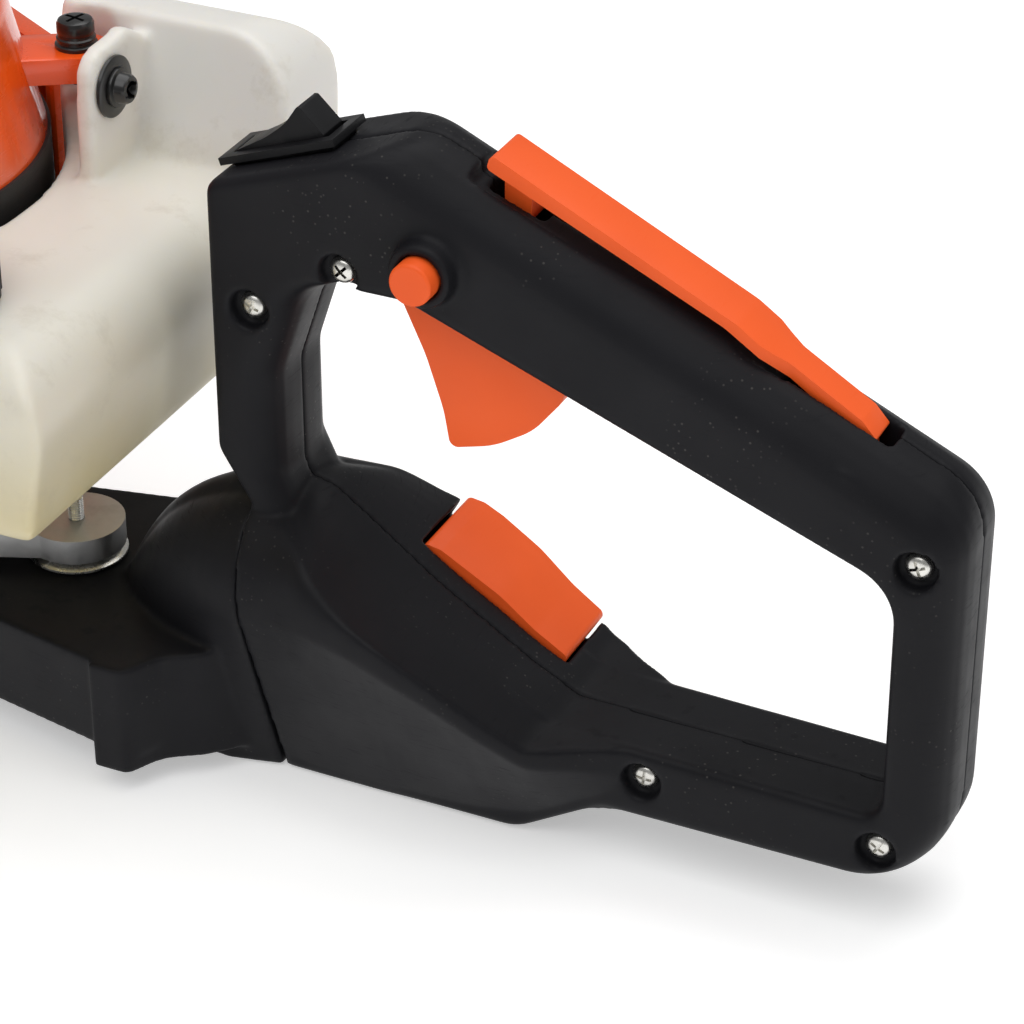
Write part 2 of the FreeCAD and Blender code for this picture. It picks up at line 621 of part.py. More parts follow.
def gearcase():
    body = plan_prism(CASE_PLAN, CASE_BOTTOM, CASE_TOP)
    body = body.fuse(rod(BELL_R, V(0, 0, CASE_TOP), Z_AXIS, BELL_TOP - CASE_TOP))
    run = math.hypot(MOUNT_X - ARM_FOOT[0], MOUNT_Y - ARM_FOOT[1])
    nx, ny = (MOUNT_Y - ARM_FOOT[1]) / run * ARM_HALF, -(MOUNT_X - ARM_FOOT[0]) / run * ARM_HALF
    neck = plan_prism([(ARM_FOOT[0] + nx, ARM_FOOT[1] + ny, 0), (MOUNT_X + nx, MOUNT_Y + ny, 0),
                       (MOUNT_X - nx, MOUNT_Y - ny, 0), (ARM_FOOT[0] - nx, ARM_FOOT[1] - ny, 0)],
                      DISC_BOTTOM, DISC_TOP)
    disc = rod(DISC_R, V(MOUNT_X, MOUNT_Y, DISC_BOTTOM), Z_AXIS, DISC_TOP - DISC_BOTTOM)
    body = fuse([body, neck, disc])
    body = body.cut(plan_prism(CASE_INSIDE, CASE_BOTTOM - 1, CASE_TOP - 6))
    body = body.fuse(rod(17, V(0, 0, 37), Z_AXIS, 4))
    body = body.cut(rod(BELL_BORE_R, V(0, 0, CASE_TOP), Z_AXIS, 40))
    body = body.cut(rod(13.0, V(0, 0, 30), Z_AXIS, 20))
    body = body.cut(rod(STUD_R + 0.1, V(MOUNT_X, MOUNT_Y, 40), Z_AXIS, 30))
    body = body.cut(box(CASE_FRONT - 5, -90, -20, 20, CASE_BOTTOM - 1, BAR_Z + BAR_T))
    for x, y in COVER_SCREWS:
        if abs(x - 42) > 1:
            body = body.cut(rod(2.1, V(x, y, 0), Z_AXIS, 20))
    for side in (-1, 1):
        y = side * CLAMP_Y
        body = body.cut(rod(2.4, V(CASE_REAR - 8, side * BUFFER_Y, BUFFER_Z), X_AXIS, 20))
        block = box(CASE_FRONT, LOOP_X + 17, y - 12.5, y + 12.5, CASE_TOP, LOOP_Z)
        saddle = rod(LOOP_R, V(LOOP_X, y - 20, LOOP_Z), Y_AXIS, 40)
        body = body.fuse(block.cut(saddle))
        body = body.cut(rod(2.05, V(LOOP_X + 14, y, 48), Z_AXIS, 20))
    return body.removeSplitter()


def gearcase_cover():
    body = plan_prism(CASE_PLAN, 0, CASE_BOTTOM)
    for x, y in COVER_SCREWS:
        if abs(x - 42) > 1:
            body = body.cut(rod(2.3, V(x, y, -1), Z_AXIS, 10))
            body = body.cut(rod(4.6, V(x, y, -1), Z_AXIS, 4.2))
    return body


def gearcase_screws():
    out = []
    for x, y in COVER_SCREWS:
        if abs(x - 42) > 1:
            head = rod(4.3, V(x, y, 0.6), Z_AXIS, 2.6).cut(hex_prism(3.0, V(x, y, 0.5), 1.6))
            out.append(head.fuse(rod(2.0, V(x, y, 3.2), Z_AXIS, 14)))
    return Part.makeCompound(out)


def toothed_wheel(teeth, x, z0, z1, phase):
    """Spur wheel with straight-flanked teeth and ample backlash."""
    pitch_r = MODULE * teeth / 2.0
    root = pitch_r - 1.25 * MODULE
    tip = pitch_r + 0.9 * MODULE
    step = 2 * math.pi / teeth
    pts = []
    for i in range(teeth):
        mid = phase + i * step
        for r, part in ((root, -0.24), (tip, -0.11), (tip, 0.11), (root, 0.24)):
            a = mid + part * step
            pts.append(V(x + r * math.cos(a), r * math.sin(a), z0))
    pts.append(pts[0])
    return Part.Face(Part.makePolygon(pts)).extrude(V(0, 0, z1 - z0))


def clutch_drum():
    cup = ring(38.5, 36.5, V(0, 0, 49.5), Z_AXIS, 18)
    plate = rod(38.5, V(0, 0, 47.5), Z_AXIS, 2)
    shaft = rod(6.0, V(0, 0, 23), Z_AXIS, 24.5)
    pinion = toothed_wheel(PINION_TEETH, 0, 25, 35, math.pi)
    return fuse([cup, plate, shaft, pinion])


def drum_bearing():
    return ring(13.0, 6.05, V(0, 0, 37.5), Z_AXIS, 8.5)


def drive_gear():
    wheel = toothed_wheel(GEAR_TEETH, GEAR_X, 26, 34, math.pi / GEAR_TEETH)
    hub = rod(9.0, V(GEAR_X, 0, 8), Z_AXIS, 30)
    cam_low = rod(15.0, V(GEAR_X + STROKE, 0, LOWER_Z), Z_AXIS, BLADE_T)
    cam_up = rod(15.0, V(GEAR_X - STROKE, 0, UPPER_Z), Z_AXIS, BLADE_T)
    return fuse([wheel, hub, cam_low, cam_up]).cut(rod(5.05, V(GEAR_X, 0, 0), Z_AXIS, 60))


def gear_axle():
    return rod(5.0, V(GEAR_X, 0, CASE_BOTTOM), Z_AXIS, CASE_TOP - 6 - CASE_BOTTOM)


def blade(z, tail):
    """Two-sided cutting blade: teeth down both edges, slots for the guide bolts."""
    spine = 13.0
    reach = 36.0
    upper = []
    for i in range(TEETH):
        x = FIRST_TOOTH - PITCH * i
        upper += [V(x + 9.5, spine, z), V(x + 4.0, reach, z), V(x - 4.0, reach, z),
                  V(x - 9.5, spine, z)]
    end = FIRST_TOOTH - PITCH * (TEETH - 1) - 16.0
    lower = [V(p.x, -p.y, z) for p in reversed(upper)]
    pts = [V(tail, spine, z)] + upper + [V(end, 6, z), V(end, -6, z)] + lower
    pts += [V(tail, -spine, z), V(tail, spine, z)]
    body = Part.Face(Part.makePolygon(pts)).extrude(V(0, 0, BLADE_T))
    for x in BOLT_XS:
        slot = plan_prism([(x - STROKE - 3.7, -3.35, 3.3), (x + STROKE + 3.7, -3.35, 3.3),
                           (x + STROKE + 3.7, 3.35, 3.3), (x - STROKE - 3.7, 3.35, 3.3)],
                          z - 1, z + BLADE_T + 1)
        body = body.cut(slot)
    return body.cut(rod(4.0, V(tail - 8, 0, z - 1), Z_AXIS, 5))


def guide_bar():
    plan = [(-96, -10, 1), (-778, -10, 9.5), (-778, 10, 9.5), (-96, 10, 1)]
    body = plan_prism(plan, BAR_Z, BAR_Z + BAR_T)
    for x in BOLT_XS:
        body = body.cut(rod(3.1, V(x, 0, 0), Z_AXIS, 40))
    return body.cut(rod(TIP_HOLE_R, V(TIP_HOLE_X, 0, 0), Z_AXIS, 40))


def blade_bolts():
    out = []
    for x in BOLT_XS:
        head = hex_prism(9.0, V(x, 0, 4.6), 3.8)
        flange = rod(8.0, V(x, 0, 8.4), Z_AXIS, 1.5)
        out.append(fuse([head, flange, rod(3.0, V(x, 0, 9.9), Z_AXIS, 15.6)]))
    return Part.makeCompound(out)


def blade_nuts():
    out = []
    for x in BOLT_XS:
        nut = hex_prism(9.0, V(x, 0, BAR_Z + BAR_T + 1.2), 4.6)
        washer = rod(6.5, V(x, 0, BAR_Z + BAR_T), Z_AXIS, 1.2)
        out.append(nut.fuse(washer).cut(rod(3.02, V(x, 0, 0), Z_AXIS, 40)))
    return Part.makeCompound(out)


# ---------------------------------------------------------------- engine

def crankcase():
    body = rod(40.0, V(0, 0, BELL_TOP), Z_AXIS, 50).fuse(rod(BELL_R, V(0, 0, BELL_TOP), Z_AXIS, 2))
    body = body.fuse(box(-44, 0, -31, 31, 74, 120))
    body = body.cut(rod(28.0, V(0, 0, 84), Z_AXIS, 26))
    body = body.cut(rod(17.0, V(0, 0, CRANK_Z), V(-1, 0, 0), 60))
    body = body.cut(rod(14.0, V(0, 0, 76), Z_AXIS, 42))
    return body.cut(rod(9.0, V(0, 0, 60), Z_AXIS, 80))


def crank_bearings():
    return Part.makeCompound([ring(14.0, CRANK_R + 0.05, V(0, 0, z), Z_AXIS, 7.5) for z in (76, 110.5)])


def crankshaft():
    shaft = rod(CRANK_R, V(0, 0, 51), Z_AXIS, 109)
    shaft = shaft.cut(box(-20, 20, -20, 20, 93, 101))
    pin = rod(5.0, V(14, 0, 90), Z_AXIS, 14)
    webs = []
    for z in (86, 101):
        webs.append(rod(26.0, V(0, 0, z), Z_AXIS, 7))
    return fuse([shaft, pin] + webs)


def clutch_shoes():
    body = ring(35.0, CRANK_R, V(0, 0, 52), Z_AXIS, 12)
    for angle in (0, 90):
        gap = box(-40, 40, -1.5, 1.5, 50, 66).cut(rod(20, V(0, 0, 50), Z_AXIS, 20))
        gap.rotate(V(0, 0, 0), Z_AXIS, angle)
        body = body.cut(gap)
    groove = ring(36.0, 33.4, V(0, 0, 57), Z_AXIS, 2)
    return body.cut(groove)


def flywheel():
    body = rod(66.0, V(0, 0, 128), Z_AXIS, 7).fuse(rod(14.0, V(0, 0, 127), Z_AXIS, 28))
    vanes = []
    for i in range(18):
        vane = box(40, 66, -1.2, 1.2, 134, 156)
        vane.rotate(V(0, 0, 0), Z_AXIS, 20 * i)
        vanes.append(vane)
    body = fuse([body] + vanes)
    return body.cut(rod(CRANK_R, V(0, 0, 100), Z_AXIS, 80))


def ignition_coil():
    block = box(-15, 15, -77.5, -67.5, 126, 146)
    return block.fuse(box(-10, 10, -77, -68.5, 146, 150))


def fan_base():
    wall = ring(FAN_R, FAN_R - 2.6, V(0, 0, 122), Z_AXIS, RIM_Z - 122)
    floor = rod(FAN_R, V(0, 0, 122), Z_AXIS, 3).cut(rod(22, V(0, 0, 120), Z_AXIS, 10))
    body = wall.fuse(floor)
    return body.cut(box(-79, -52, -26, 26, 120, 126))


def starter_housing():
    """Round top cover with its vents, its ear for a screw and the pulley's post."""
    shell = Part.makeCone(DOME_R + 1, 70.0, DOME_TOP - RIM_Z, V(0, 0, RIM_Z), Z_AXIS)
    top = [e for e in shell.Edges if abs(e.BoundBox.ZMin - DOME_TOP) < 1e-6]
    shell = shell.makeFillet(12.0, top)
    inner = Part.makeCone(DOME_R - 1.6, 67.6, DOME_TOP - RIM_Z - 2.6, V(0, 0, RIM_Z), Z_AXIS)
    body = shell.cut(inner)
    for i in range(16):
        slot = box(30, 58, -2.2, 2.2, DOME_TOP - 8, DOME_TOP + 5)
        slot.rotate(V(0, 0, 0), Z_AXIS, 22.5 * i)
        body = body.cut(slot)
    ears = []
    for x, y in EARS:
        ear = rod(10.0, V(x, y, EAR_TOP - 8), Z_AXIS, 8)
        dist = math.hypot(x, y)
        web = box(60, dist, -10, 10, EAR_TOP - 8, EAR_TOP)
        web.rotate(V(0, 0, 0), Z_AXIS, math.degrees(math.atan2(y, x)))
        ears.append(ear.fuse(web).cut(inner).cut(rod(2.6, V(x, y, 150), Z_AXIS, 60)))
    body = fuse([body] + ears)
    post = rod(5.0, V(0, 0, 164), Z_AXIS, DOME_TOP - 164 - 2)
    body = body.fuse(post)
    return body.cut(rod(6.0, V(GRIP_X, -40, GRIP_Z), V(0, -1, 0), 60))


EAR_TOP = 191.0
EARS = [(77.5, 48.3), (-20.0, 89.0), (-85.0, -34.0), (30.0, -86.5)]


def housing_screws():
    out = []
    for x, y in EARS:
        collar = rod(8.0, V(x, y, EAR_TOP), Z_AXIS, 3.5)
        head = rod(7.0, V(x, y, EAR_TOP + 3.5), Z_AXIS, 5.5).cut(hex_prism(4.0, V(x, y, EAR_TOP + 6.5), 4))
        out.append(fuse([collar, head, rod(2.4, V(x, y, EAR_TOP - 12), Z_AXIS, 14)]))
    return Part.makeCompound(out)


def starter_pulley():
    body = rod(28.0, V(0, 0, 169), Z_AXIS, 12)
    body = body.cut(ring(30.0, PULLEY_ROPE_R, V(0, 0, 172.5), Z_AXIS, 5))
    return body.cut(rod(5.06, V(0, 0, 150), Z_AXIS, 50))


def starter_grip():
    bar = rod(7.5, V(GRIP_X - 30, -88, GRIP_Z), X_AXIS, 60)
    stem = rod(5.5, V(GRIP_X, -88, GRIP_Z), Y_AXIS, 20)
    return bar.fuse(stem)


def cylinder():
    core = ring(23.0, 17.0, V(-44, 0, CRANK_Z), V(-1, 0, 0), 56).fuse(rod(23, V(-100, 0, CRANK_Z), V(-1, 0, 0), 8))
    fins = [front_prism([(-31, 74, 6), (31, 74, 6), (31, 120, 6), (-31, 120, 6)], x - 1.6, x)
            for x in [-50 - 6.5 * i for i in range(9)]]
    flange = box(-48, -44, -30, 30, 79, 119)
    body = fuse([core, flange] + fins)
    body = body.cut(rod(17.0, V(-30, 0, CRANK_Z), V(-1, 0, 0), 70))
    port_out = box(-84, -60, 20, 36, 85, 109)
    port_in = box(-84, -60, -36, -20, 85, 109)
    body = fuse([body, port_out, port_in])
    return body.cut(rod(5.0, V(-95, 0, CRANK_Z), V(-1, 0, 0), 20))


def spark_plug():
    thread = rod(4.9, V(-98, 0, CRANK_Z), V(-1, 0, 0), 10)
    nut = rod(8.5, V(-108, 0, CRANK_Z), V(-1, 0, 0), 7)
    tip = rod(4.0, V(-115, 0, CRANK_Z), V(-1, 0, 0), 14)
    return fuse([thread, nut, tip])


def plug_cap():
    body = rod(9.0, V(-116, 0, CRANK_Z), V(-1, 0, 0), 26).fuse(rod(6.0, V(-134, 0, CRANK_Z), Z_AXIS, 17))
    return body.cut(rod(4.05, V(-110, 0, CRANK_Z), V(-1, 0, 0), 19.5))


def muffler():
    body = plan_prism([(-104, 36, 8), (-46, 36, 8), (-46, 78, 10), (-104, 78, 10)], 72, 120)
    body = body.cut(plan_prism([(-102, 38, 6), (-48, 38, 6), (-48, 76, 8), (-102, 76, 8)], 74, 118))
    outlet = rod(6.0, V(-96, 58, 84), V(-1, 0, 0), 20).cut(rod(4.5, V(-90, 58, 84), V(-1, 0, 0), 40))
    body = body.fuse(outlet)
    return body.cut(rod(4.5, V(-90, 58, 84), V(-1, 0, 0), 40))


def muffler_guard():
    """Slotted heat guard that curves round the engine's right-hand side."""
    outer = [(-114, 50, 0), (-114, 99, 16), (14, 99, 30), (60, 72, 8), (58, 64, 0)]
    inner = [(-111, 40, 0), (-111, 96, 13), (13, 96, 27), (56, 70, 5), (50, 62, 0)]
    solid = plan_prism(outer + [(0, 50, 0)], 78, 178)
    solid = solid.cut(plan_prism(inner + [(0, 40, 0)], 77, 175.4))
    solid = solid.cut(rod(FAN_R + 3.3, V(0, 0, 70), Z_AXIS, 120))
    for i in range(3):
        for j in range(13):
            x = -104 + 9.5 * j
            solid = solid.cut(box(x, x + 5.5, 90, 105, 86 + 29 * i, 109 + 29 * i))
    for i in range(3):
        for j in range(4):
            slot = box(6 + 9.5 * j, 11.5 + 9.5 * j, -8, 12, 86 + 29 * i, 109 + 29 * i)
            slot.rotate(V(0, 0, 0), Z_AXIS, -30.4)
            slot.translate(V(14, 96, 0))
            solid = solid.cut(slot)
    for j in range(11):
        x = -104 + 9.5 * j
        solid = solid.cut(box(x, x + 5.5, 86, 93, 170, 180))
    solid = solid.cut(rod(8.0, V(-105, 58, 84), V(-1, 0, 0), 20))
    return max(solid.Solids, key=lambda piece: piece.Volume)


def cylinder_cover():
    plan = [(-60, -47, 0), (-60, 47, 0), (-116, 47, 14), (-116, -47, 14)]
    inside = [(-50, -44.5, 0), (-50, 44.5, 0), (-113.4, 44.5, 11.5), (-113.4, -44.5, 11.5)]
    body = plan_prism(plan, 123, 164).cut(plan_prism(inside, 120, 161.4))
    body = body.cut(rod(FAN_R + 0.2, V(0, 0, 100), Z_AXIS, 100))
    for i in range(7):
        y = -36 + 11 * i
        body = body.cut(box(-120, -105, y, y + 6, 130, 152))
    return body


def carburettor():
    insulator = box(-86, -58, -44, -36, 83, 111)
    body = box(-84, -60, -66, -44, 85, 109)
    bowl = rod(9.0, V(-72, -55, 77), Z_AXIS, 8)
    throat = rod(8.0, V(-72, -20, CRANK_Z), V(0, -1, 0), 50)
    recess = rod(9.4, V(-64.4, -55, CRANK_Z), X_AXIS, 10)
    return fuse([insulator, body, bowl]).cut(throat).cut(recess)


def air_filter_cover():
    shape = front_prism([(-114, 72, 10), (-66.2, 72, 3), (-66.2, 120, 3), (-114, 120, 14)], -112, -40)
    inner = front_prism([(-111.5, 74.5, 8), (-66, 74.5, 0), (-66, 117.5, 0), (-111.5, 117.5, 12)], -109.5, -42.5)
    body = shape.cut(inner)
    for i in range(5):
        body = body.cut(box(-100 + 10 * i, -95 + 10 * i, -120, -108, 84, 108))
    return body.cut(rod(2.06, V(-45, -80, 104), X_AXIS, 10))


def choke_lever():
    pin = rod(2.0, V(-44, -80, 104), X_AXIS, 8)
    arm = front_prism([(-84, 100, 3), (-76, 100, 3), (-76, 122, 3), (-84, 122, 3)], -39.5, -37.0)
    knob = rod(4.0, V(-39.5, -80, 120), X_AXIS, 9)
    return fuse([pin, arm, knob])


def primer_bulb():
    ball = Part.makeSphere(9.0, V(-58, -55, CRANK_Z)).common(box(-59.6, -40, -80, -30, 80, 120))
    return ball.common(box(-59.7, -49.5, -80, -30, 80, 120))


# ---------------------------------------------------------------- fuel tank

def tank_body(inset):
    i = inset
    side = [(46 + i, TANK_BOTTOM + i, 8), (TANK_REAR_BOTTOM - i, TANK_BOTTOM + i, 14 - i),
            (TANK_REAR_TOP - i, TANK_TOP - i, 20 - i), (46 + i, TANK_TOP - i, 3)]
    main = side_prism(side, TANK_NEAR + i, TANK_FAR - i)
    crown = [(56 + i, 140, 0), (TANK_REAR_TOP - 3 - i, 140, 0),
             (TANK_REAR_TOP - i, TANK_HIGH - i, 24 - i), (56 + i, TANK_HIGH - i, 3)]
    high = side_prism(crown, 0, TANK_FAR - i)
    slope = front_prism([(34 + i, 120, 0), (45 + i, TANK_TOP - 2, 0), (62 + i, TANK_HIGH + 4, 0),
                         (120, 240, 0), (120, 120, 0)], 40, 170)
    body = main.fuse(high.common(slope))
    ends = front_prism([(TANK_NEAR + i, TANK_BOTTOM + i, 16), (TANK_FAR - i, TANK_BOTTOM + i, 16),
                        (TANK_FAR - i, TANK_HIGH - i, 22), (20, TANK_HIGH - i, 4),
                        (20, TANK_TOP - i, 0.5), (TANK_NEAR + i, TANK_TOP - i, 18)], 40, 170)
    plan = plan_prism([(46 + i, TANK_NEAR + i, 12), (160, TANK_NEAR + i, 26), (160, TANK_FAR - i, 26),
                       (46 + i, TANK_FAR - i, 12)], 90, 220)
    body = body.common(ends).common(plan)
    body = body.cut(rod(FAN_R + 4.0 + i, V(0, 0, 118 - i), Z_AXIS, 120))
    ear_room = rod(13.0 + i, V(EARS[0][0], EARS[0][1], 172 - i), Z_AXIS, 60)
    return body.cut(ear_room).cut(box(30, 65 + i, 54 - i, 120, 90, 220))


def fuel_tank():
    body = tank_body(0)
    neck = rod(17.0, V(CAP_X, CAP_Y, TANK_TOP - 4), Z_AXIS, 11)
    lug = front_prism([(LUG.y - 13, 160, 0), (LUG.y - 11, LUG.z + 12, 9), (LUG.y + 12, LUG.z + 14, 4),
                       (LUG.y + 22, LUG.z + 8, 2), (LUG.y + 22, 160, 0)], LUG.x - 6, LUG.x)
    body = fuse([body, neck, lug])
    body = body.cut(tank_body(TANK_WALL))
    body = body.cut(rod(14.0, V(CAP_X, CAP_Y, 150), Z_AXIS, 30))
    body = body.cut(rod(2.6, LUG - V(20, 0, 0), X_AXIS, 30))
    return body


def fuel_cap():
    body = rod(21.0, V(CAP_X, CAP_Y, TANK_TOP + 1), Z_AXIS, 17)
    body = body.cut(rod(17.3, V(CAP_X, CAP_Y, TANK_TOP), Z_AXIS, 7.3))
    for i in range(12):
        flute = rod(2.2, V(CAP_X + 21.8, CAP_Y, TANK_TOP), Z_AXIS, 30)
        flute.rotate(V(CAP_X, CAP_Y, 0), Z_AXIS, 30 * i)
        body = body.cut(flute)
    return body


def tank_washer():
    return ring(9.5, 2.6, LUG, X_AXIS, 1.6)


def tank_screw():
    start = LUG + V(1.6, 0, 0)
    head = rod(6.2, start, X_AXIS, 1.5).fuse(rod(4.6, start, X_AXIS, 5.0))
    slot = box(start.x + 3.2, start.x + 6, start.y - 3, start.y + 3, start.z - 0.7, start.z + 0.7)
    slot = slot.fuse(box(start.x + 3.2, start.x + 6, start.y - 0.7, start.y + 0.7, start.z - 3, start.z + 3))
    return head.cut(slot).fuse(rod(2.5, LUG - V(6, 0, 0), X_AXIS, 8))


# ---------------------------------------------------------------- front handle

def loop_path():
    low = 20.0
    return [(V(LOOP_X, -low, LOOP_Z), 0), (V(LOOP_X, -LOOP_HALF, LOOP_Z), LOOP_BEND),
            (V(LOOP_X, -LOOP_HALF, LOOP_TOP), LOOP_BEND), (V(LOOP_X, LOOP_HALF, LOOP_TOP), LOOP_BEND),
            (V(LOOP_X, LOOP_HALF, LOOP_Z), LOOP_BEND), (V(LOOP_X, low, LOOP_Z), 0)]


def front_handle():
    outer = swept(loop_path(), LOOP_R - 0.05)
    return outer.cut(swept(loop_path(), LOOP_R - 2.0))


def grip_sleeve():
    half = LOOP_HALF - LOOP_BEND
    return ring(LOOP_R + 2.5, LOOP_R, V(LOOP_X, -half, LOOP_TOP), Y_AXIS, 2 * half)


def handle_clamps():
    out = []
    for side in (-1, 1):
        y0 = side * CLAMP_Y - 12.5
        cap = box(LOOP_X - 10, LOOP_X + 17, y0, y0 + 25, LOOP_Z + 0.5, LOOP_Z + 15)
        edges = [e for e in cap.Edges if abs(e.BoundBox.ZMin - LOOP_Z - 15) < 1e-6
                 and e.BoundBox.YLength > 20]
        cap = cap.makeFillet(8.0, edges)
        cap = cap.cut(rod(LOOP_R, V(LOOP_X, y0 - 5, LOOP_Z), Y_AXIS, 35))
        out.append(cap.cut(rod(2.2, V(LOOP_X + 14, side * CLAMP_Y, 40), Z_AXIS, 60)))
    return Part.makeCompound(out)


def clamp_screws():
    out = []
    for side in (-1, 1):
        x = LOOP_X + 14
        y = side * CLAMP_Y
        shank = rod(2.0, V(x, y, 50), Z_AXIS, 25)
        head = rod(3.6, V(x, y, 73.5), Z_AXIS, 4).cut(hex_prism(3.0, V(x, y, 75.5), 3))
        out.append(shank.fuse(head))
    return Part.makeCompound(out)


def hand_guard():
    outline = [(-LOOP_HALF + 12, 66, 14), (LOOP_HALF - 12, 66, 14), (LOOP_HALF - 6, 176, 26),
               (-LOOP_HALF + 6, 176, 26)]
    plate = front_prism(outline, CASE_FRONT - 12, CASE_FRONT - 9)
    foot = box(CASE_FRONT - 12, CASE_FRONT - 9, -44, 44, 24, 90)
    tabs = [box(CASE_FRONT - 9, CASE_FRONT, side * 36 - 6, side * 36 + 6, 26, 42) for side in (-1, 1)]
    body = fuse([plate, foot] + tabs)
    return body


def main():
    os.makedirs("parts", exist_ok=True)
    left, right = handle_halves()
    save("handle_left_half", left)
    save("handle_right_half", right)
    save("handle_screws", handle_screws())
    save("switch_bezel", switch_bezel())
    save("switch_rocker", switch_rocker())
    save("throttle_trigger", throttle_trigger())
    save("trigger_pin", trigger_pin())
    save("lockout_lever", lockout_lever())
    save("lever_pin", lever_pin())
    save("throttle_hold_button", throttle_hold_button())
    save("rotation_release_lever", rotation_release_lever())
    save("rear_bracket", rear_bracket())
    save("swivel_hub", swivel_hub())
    save("mount_washer", mount_washer())
    save("mount_stud", mount_stud())
    save("buffers", buffers())
    save("buffer_studs", buffer_studs())
    save("gearcase", gearcase())
    save("gearcase_cover", gearcase_cover())
    save("gearcase_screws", gearcase_screws())
    save("clutch_drum", clutch_drum())
    save("drum_bearing", drum_bearing())
    save("drive_gear", drive_gear())
    save("gear_axle", gear_axle())
    save("lower_blade", blade(LOWER_Z, -88.0))
    save("upper_blade", blade(UPPER_Z, -88.0))
    save("guide_bar", guide_bar())
    save("blade_bolts", blade_bolts())
    save("blade_nuts", blade_nuts())
    save("crankcase", crankcase())
    save("crank_bearings", crank_bearings())
    save("crankshaft", crankshaft())
    save("clutch_shoes", clutch_shoes())
    save("flywheel", flywheel())
    save("ignition_coil", ignition_coil())
    save("fan_base", fan_base())
    save("starter_housing", starter_housing())
    save("housing_screws", housing_screws())
    save("starter_pulley", starter_pulley())
    save("starter_grip", starter_grip())
    save("cylinder", cylinder())
    save("spark_plug", spark_plug())
    save("plug_cap", plug_cap())
    save("muffler", muffler())
    save("muffler_guard", muffler_guard())
    save("cylinder_cover", cylinder_cover())
    save("carburettor", carburettor())
    save("air_filter_cover", air_filter_cover())
    save("choke_lever", choke_lever())
    save("primer_bulb", primer_bulb())
    save("fuel_tank", fuel_tank())
    save("fuel_cap", fuel_cap())
    save("tank_washer", tank_washer())
    save("tank_screw", tank_screw())
    save("front_handle", front_handle())
    save("grip_sleeve", grip_sleeve())
    save("handle_clamps", handle_clamps())
    save("clamp_screws", clamp_screws())
    save("hand_guard", hand_guard())


main()
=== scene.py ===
"""Petrol hedge trimmer: finishes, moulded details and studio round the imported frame."""

from __future__ import annotations

import logging
import math
from dataclasses import dataclass, field
from enum import Enum
from typing import Sequence

import bpy
from mathutils import Matrix, Vector


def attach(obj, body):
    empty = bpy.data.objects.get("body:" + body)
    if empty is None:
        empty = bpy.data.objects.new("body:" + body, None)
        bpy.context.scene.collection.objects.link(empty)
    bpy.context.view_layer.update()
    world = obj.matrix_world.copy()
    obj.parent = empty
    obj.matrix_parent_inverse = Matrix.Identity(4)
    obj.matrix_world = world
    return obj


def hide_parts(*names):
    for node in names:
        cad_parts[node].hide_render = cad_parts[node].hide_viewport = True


LOG = logging.getLogger("hedge_trimmer")

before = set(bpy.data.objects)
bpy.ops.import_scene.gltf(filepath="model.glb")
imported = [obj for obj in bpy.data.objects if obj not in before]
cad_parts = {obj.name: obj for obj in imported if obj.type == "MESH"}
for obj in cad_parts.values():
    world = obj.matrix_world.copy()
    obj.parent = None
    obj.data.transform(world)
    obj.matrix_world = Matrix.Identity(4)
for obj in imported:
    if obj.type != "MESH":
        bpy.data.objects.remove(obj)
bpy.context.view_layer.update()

MM = 0.001
HANDLE_DATUM = Vector((0.244, 0.0, 0.0965))


def handle_point(x: float, y: float, z: float) -> Vector:
    """Point of the rear handle's own datum, in mm, as a place in the frame, in metres."""
    return HANDLE_DATUM + Vector((x, y, z)) * MM


# --------------------------------------------------------------------------- shader building


class Coat(Enum):
    """How closed a surface looks: the clear layer over its colour."""

    NONE = 0.0
    THIN = 0.25
    FULL = 0.6


